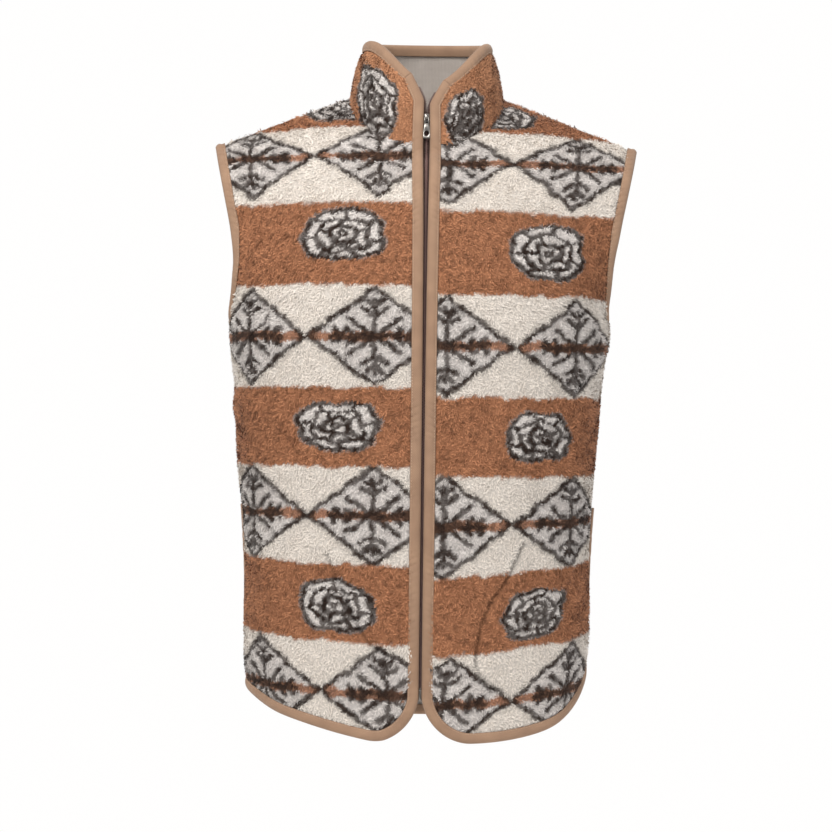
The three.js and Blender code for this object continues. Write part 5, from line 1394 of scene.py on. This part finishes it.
def slider(name):
    """Zip slider: a rounded plate before the chain and one behind it, wider where the sides part, the post
    between them, and an arched bridge for the pull."""
    half = SLIDER_LENGTH / 2
    shield = rounded(SLIDER_HALF * 0.8, SLIDER_HALF, -half, half)
    post = rounded(0.8, 0.8, half - 3, half - 0.3)
    t = np.linspace(0, np.pi, 17)
    reach, rise = BRIDGE_LENGTH / 2 - BRIDGE_BAR / 2, BRIDGE_CLEAR + BRIDGE_BAR / 2 + 0.4
    arch = np.stack([t * 0, -np.sign(np.cos(t)) * np.abs(np.cos(t)) ** 0.5 * reach,
                     PLATE_FRONT - 0.4 + np.sin(t) ** 0.5 * rise], -1)
    parts = [
        plate(shield, PLATE_FRONT - PLATE, PLATE_FRONT, 0.35),
        plate(shield, PLATE_BACK, PLATE_BACK + PLATE, 0.35),
        plate(post, PLATE_BACK + 0.3, PLATE_FRONT - 0.3, 0.1),
        bar(arch, 0.9, BRIDGE_BAR / 2),
    ]
    points, faces = joined(parts)
    return turned_out(mesh_object(name, on_zip_line(points), faces, [PLATING]))


def pull(name):
    """Pull tab: a pin under the bridge, two arms and a plate that widens downwards round an oval hole."""
    count = 48
    low = -PULL_LENGTH
    body = rounded(4.3, 2.7, low, -PULL_ARM_LENGTH + 0.8, count, 6.0)
    turn = 2 * np.pi * np.arange(count) / count
    hole = np.stack([2.4 * np.cos(turn), -17.3 + 2.8 * np.sin(turn)], -1)
    thick = PULL_THICKNESS / 2
    parts = [plate(body, -thick, thick, 0.3, hole)]
    for side in (LEFT, RIGHT):
        arm = rounded(0.66, 0.66, -PULL_ARM_LENGTH - 0.4, 0.75, 20) + [side * 2.03, 0]
        parts.append(plate(arm, -thick, thick, 0.25))
    x = np.linspace(-2.3, 2.3, 5)
    pin = np.stack([x, x * 0, x * 0], -1)
    across, up = np.zeros_like(pin), np.zeros_like(pin)
    across[:, 1], up[:, 2] = 0.6, 0.6
    parts.append(tubes(pin[None], across[None], up[None], 14))
    points, faces = joined(parts)
    points[:, 2] += PIN_HEIGHT
    return turned_out(mesh_object(name, on_zip_line(points), faces, [PLATING]))


def bottom_box(name):
    """Box at the zip's bottom, which the two sides go into."""
    outline = rounded(BOX_HALF_WIDTH, BOX_HALF_WIDTH, BOX_BOTTOM, BOX_TOP)
    points, faces = plate(outline, BOX_BACK, BOX_FRONT, BOX_BEVEL)
    x, z, height = np.moveaxis(points, -1, 0)
    front = look_up(TRUNK, "z", np.array(BOX_TOP))["front"]
    return turned_out(mesh_object(name, np.stack([x, -front - height, z], -1), faces, [PLATING]))


# Making the pieces

def put(piece, body, slot, *nodes):
    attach(piece, body)
    if nodes:
        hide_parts(*nodes)
    return piece


RINGS_A_STITCH = 2
# Loose curls of the pile round and up each grid
TUFT_COUNTS = {"front_left": (124, 392), "front_right": (124, 392), "back": (104, 350), "collar": (260, 62)}


def make_cloth():
    for k, cut in enumerate(("front_left", "front_right", "back", "collar")):
        if cut == "collar":
            grids = [collar_grid()]
        elif cut == "back":
            grids = [body_grid(cut, side) for side in (LEFT, RIGHT)]
        else:
            grids = [body_grid(cut, SIDES[cut.split("_")[1]])]
        wall = put(pile_wall(cut + "_pile", cut, grids), "vest", "wool_pile", cut)
        names = [f"{cut}_curls"] if len(grids) == 1 else [f"{cut}_curls_left", f"{cut}_curls_right"]
        for n, (name, grid) in enumerate(zip(names, grids)):
            curls = tufts(name, cut, grid, *TUFT_COUNTS[cut], seed=10 * k + n + 1)
            put(curls, "vest", "wool_pile")


def make_tape(name, run, rings, node, is_loop=False):
    """A binding with a line of stitches on its outside."""
    piece = put(tube(name, rings, run["length"], BINDING, is_loop), "vest", "binding", node)
    line, normal = rings[:, STITCH_COLUMN], run["normal"]
    if is_loop:
        line, normal = np.append(line, line[:1], 0), np.append(normal, normal[:1], 0)
    line, normal = line[::RINGS_A_STITCH], normal[::RINGS_A_STITCH]
    sewn = put(stitches(name + "_stitches", [line], [normal]), "vest", "binding")


def part_of(run, keep):
    return {key: run[key][keep] for key in ("points", "normal", "outward", "length")}


def make_bindings():
    tops = []
    for name, side in SIDES.items():
        run, rings, corner = bound_side(side)
        own = rings[: corner + 1].copy()
        own[-1] = nudged(own[-1], own[-2])
        own_run = part_of(run, slice(0, corner + 1))
        make_tape(f"binding_front_{name}_tape", own_run, own, f"binding_front_{name}")
        top = rings[corner:].copy()
        top[0] = nudged(top[0], top[1])
        tops.append((part_of(run, slice(corner, None)), top))
    (left, left_rings), (right, right_rings) = tops
    keep = slice(-2, None, -1)
    rings = np.concatenate([left_rings, right_rings[keep]])
    points = np.concatenate([left["points"], right["points"][keep]])
    length = np.concatenate([[0], np.cumsum(np.linalg.norm(np.diff(points, axis=0), axis=1))])
    run = dict(points=points, normal=np.concatenate([left["normal"], right["normal"][keep]]), length=length)
    make_tape("binding_collar_tape", run, rings, "binding_collar")

    end = 1 - TAPE_END / HALF_GIRTH
    run = edge_run([stretch("back", LEFT, np.linspace(end, -end, 900), 0.0)])
    square_to_seam(run, LEFT, False)
    square_to_seam(run, RIGHT, True)
    make_tape("binding_hem_back_tape", run, tape_rings(run), "binding_hem_back")

    for name, side in SIDES.items():
        up = np.linspace(UNDERARM_ROW, 1, 400)
        front, back = stretch("front", side, 1.0, up), stretch("back", side, 1.0, up[::-1])
        for key in ("share", "up"):
            back[key] = back[key][1:-1]
        run = edge_run([front, back], True)
        make_tape(f"binding_armhole_{name}_tape", run, tape_rings(run), f"binding_armhole_{name}", True)


def row_at_side(side, z):
    """Row whose outer end is at a height."""
    rise = HEM_RISE[side][0]
    height = z - HEM_Z
    squeezed = (height - rise) / (1 - rise / HEM_LEVEL_HEIGHT)
    return row_at_height(np.where(height >= HEM_LEVEL_HEIGHT, height, squeezed))


def make_pocket_tapes():
    """Tapes on the pocket openings: the section's places are measured in from the side seam."""
    for name, side in SIDES.items():
        z = np.linspace(POCKET_TOP, POCKET_BOTTOM, POCKET_RINGS)
        row = np.broadcast_to(row_at_side(side, z)[:, None], (POCKET_RINGS, POCKET_PLACES))
        share = np.broadcast_to(np.linspace(1, POCKET_SHARE, POCKET_PLACES), row.shape)
        length = along(body_sheet("front", side, share, row), 1)
        rings, normals = [], []
        for inward, height in zip(POCKET_SECTION["inward"], POCKET_SECTION["height"]):
            at = np.array([np.interp(inward, l, s) for l, s in zip(length, share)])
            normal = body_normal("front", side, at, row[:, 0])
            folds = 0.5 * pucker(z, inward, z) if height > 5 else 0 * z
            folds = folds - np.interp(z, (POCKET_BOTTOM, POCKET_TOP), POCKET_SUNK[side][::-1])
            rings.append(body_sheet("front", side, at, row[:, 0]) + normal * (height + folds)[:, None])
            normals.append(normal)
        rings = np.stack(rings, 1)
        run_length = along(rings[:, POCKET_MIDDLE][None], 1)[0]
        tape = tube(f"pocket_tape_{name}_cloth", rings, run_length, BINDING)
        piece = put(tape, "vest", "binding", f"pocket_tape_{name}")
        sewn = stitches(f"pocket_tape_{name}_stitches", [rings[:, k] for k in POCKET_STITCHED],
                        [normals[k] for k in POCKET_STITCHED])
        put(sewn, "vest", "binding")


def make_zip():
    for name, side in SIDES.items():
        cloth = put(web(f"zip_tape_{name}_web", side), "vest", "zip_tape", f"zip_tape_{name}")
        coil = put(teeth(f"zip_chain_{name}_coil", side), "vest", "zip_tape", f"zip_chain_{name}")
    put(slider("zip_slider_plated"), "vest", "zip_metal", "zip_slider")
    put(bottom_box("zip_box_plated"), "vest", "zip_metal", "zip_box")
    put(pull("pull_tab_plated"), "pull", "zip_metal", "pull_tab")


make_cloth()
make_bindings()
make_pocket_tapes()
make_zip()


# Floor, light and camera

FLOOR_Z, FLOOR_RADIUS = -980.0, 860.0


def make_floor():
    """A level round of pale paper."""
    turn = 2 * np.pi * np.arange(96) / 96
    points = np.stack([FLOOR_RADIUS * np.cos(turn), FLOOR_RADIUS * np.sin(turn), np.full(96, FLOOR_Z)], -1)
    paper = grained_material("white_paper", "#f4f3f1", "#f8f7f6", 0.03, 0.0002, {"Roughness": 0.9})
    mesh_object("floor", points, [np.arange(96)[None]], [paper])


def make_light(name, size, energy, place, aim, colour):
    light = bpy.data.lights.new(name, "AREA")
    light.shape, light.size, light.energy, light.color = "DISK", size, energy, colour
    lamp = bpy.data.objects.new(name, light)
    bpy.context.scene.collection.objects.link(lamp)
    lamp.location = place
    lamp.rotation_euler = (Vector(aim) - Vector(place)).to_track_quat("-Z", "Y").to_euler()


SKY_LIGHT, SKY_SEEN = 0.6, 1.0  # the white room as it lights the cloth, and as it looks behind it


def make_studio():
    make_floor()
    make_light("key", 1.2, 40, (-0.7, -1.6, 1.2), (0, 0, -0.15), (1.0, 0.98, 0.95))
    make_light("fill", 2.2, 12, (1.9, -2.3, 0.3), (0, 0, -0.3), (0.97, 0.98, 1.0))
    make_light("back", 1.6, 26, (0.5, 2.4, 1.2), (0, 0, -0.3), (1.0, 1.0, 1.0))
    world = bpy.data.worlds.new("studio")
    world.use_nodes = True
    sky = world.node_tree.nodes["Background"]
    sky.inputs["Color"].default_value = (1.0, 0.995, 0.99, 1.0)
    seen = add(world.node_tree, "ShaderNodeLightPath").outputs["Is Camera Ray"]
    strength = add(world.node_tree, "ShaderNodeMapRange", {
        "Value": seen, "To Min": SKY_LIGHT, "To Max": SKY_SEEN})
    world.node_tree.links.new(strength.outputs["Result"], sky.inputs["Strength"])
    bpy.context.scene.world = world
    bpy.context.scene.view_settings.view_transform = "Standard"


# The camera stands level with the vest's middle, at its distance from the front, and leans a little
CAMERA_PLACE, CAMERA_ROLL, CAMERA_LENS = (-0.0077, -2.4, -0.348), 0.69, 94.4


def make_camera():
    camera = bpy.data.cameras.new("camera")
    camera.lens, camera.sensor_width = CAMERA_LENS, 36.0
    holder = bpy.data.objects.new("camera", camera)
    upright, roll = Matrix.Rotation(math.pi / 2, 4, "X"), Matrix.Rotation(math.radians(CAMERA_ROLL), 4, "Z")
    holder.matrix_world = Matrix.Translation(CAMERA_PLACE) @ upright @ roll
    bpy.context.scene.collection.objects.link(holder)
    bpy.context.scene.camera = holder


make_studio()
make_camera()
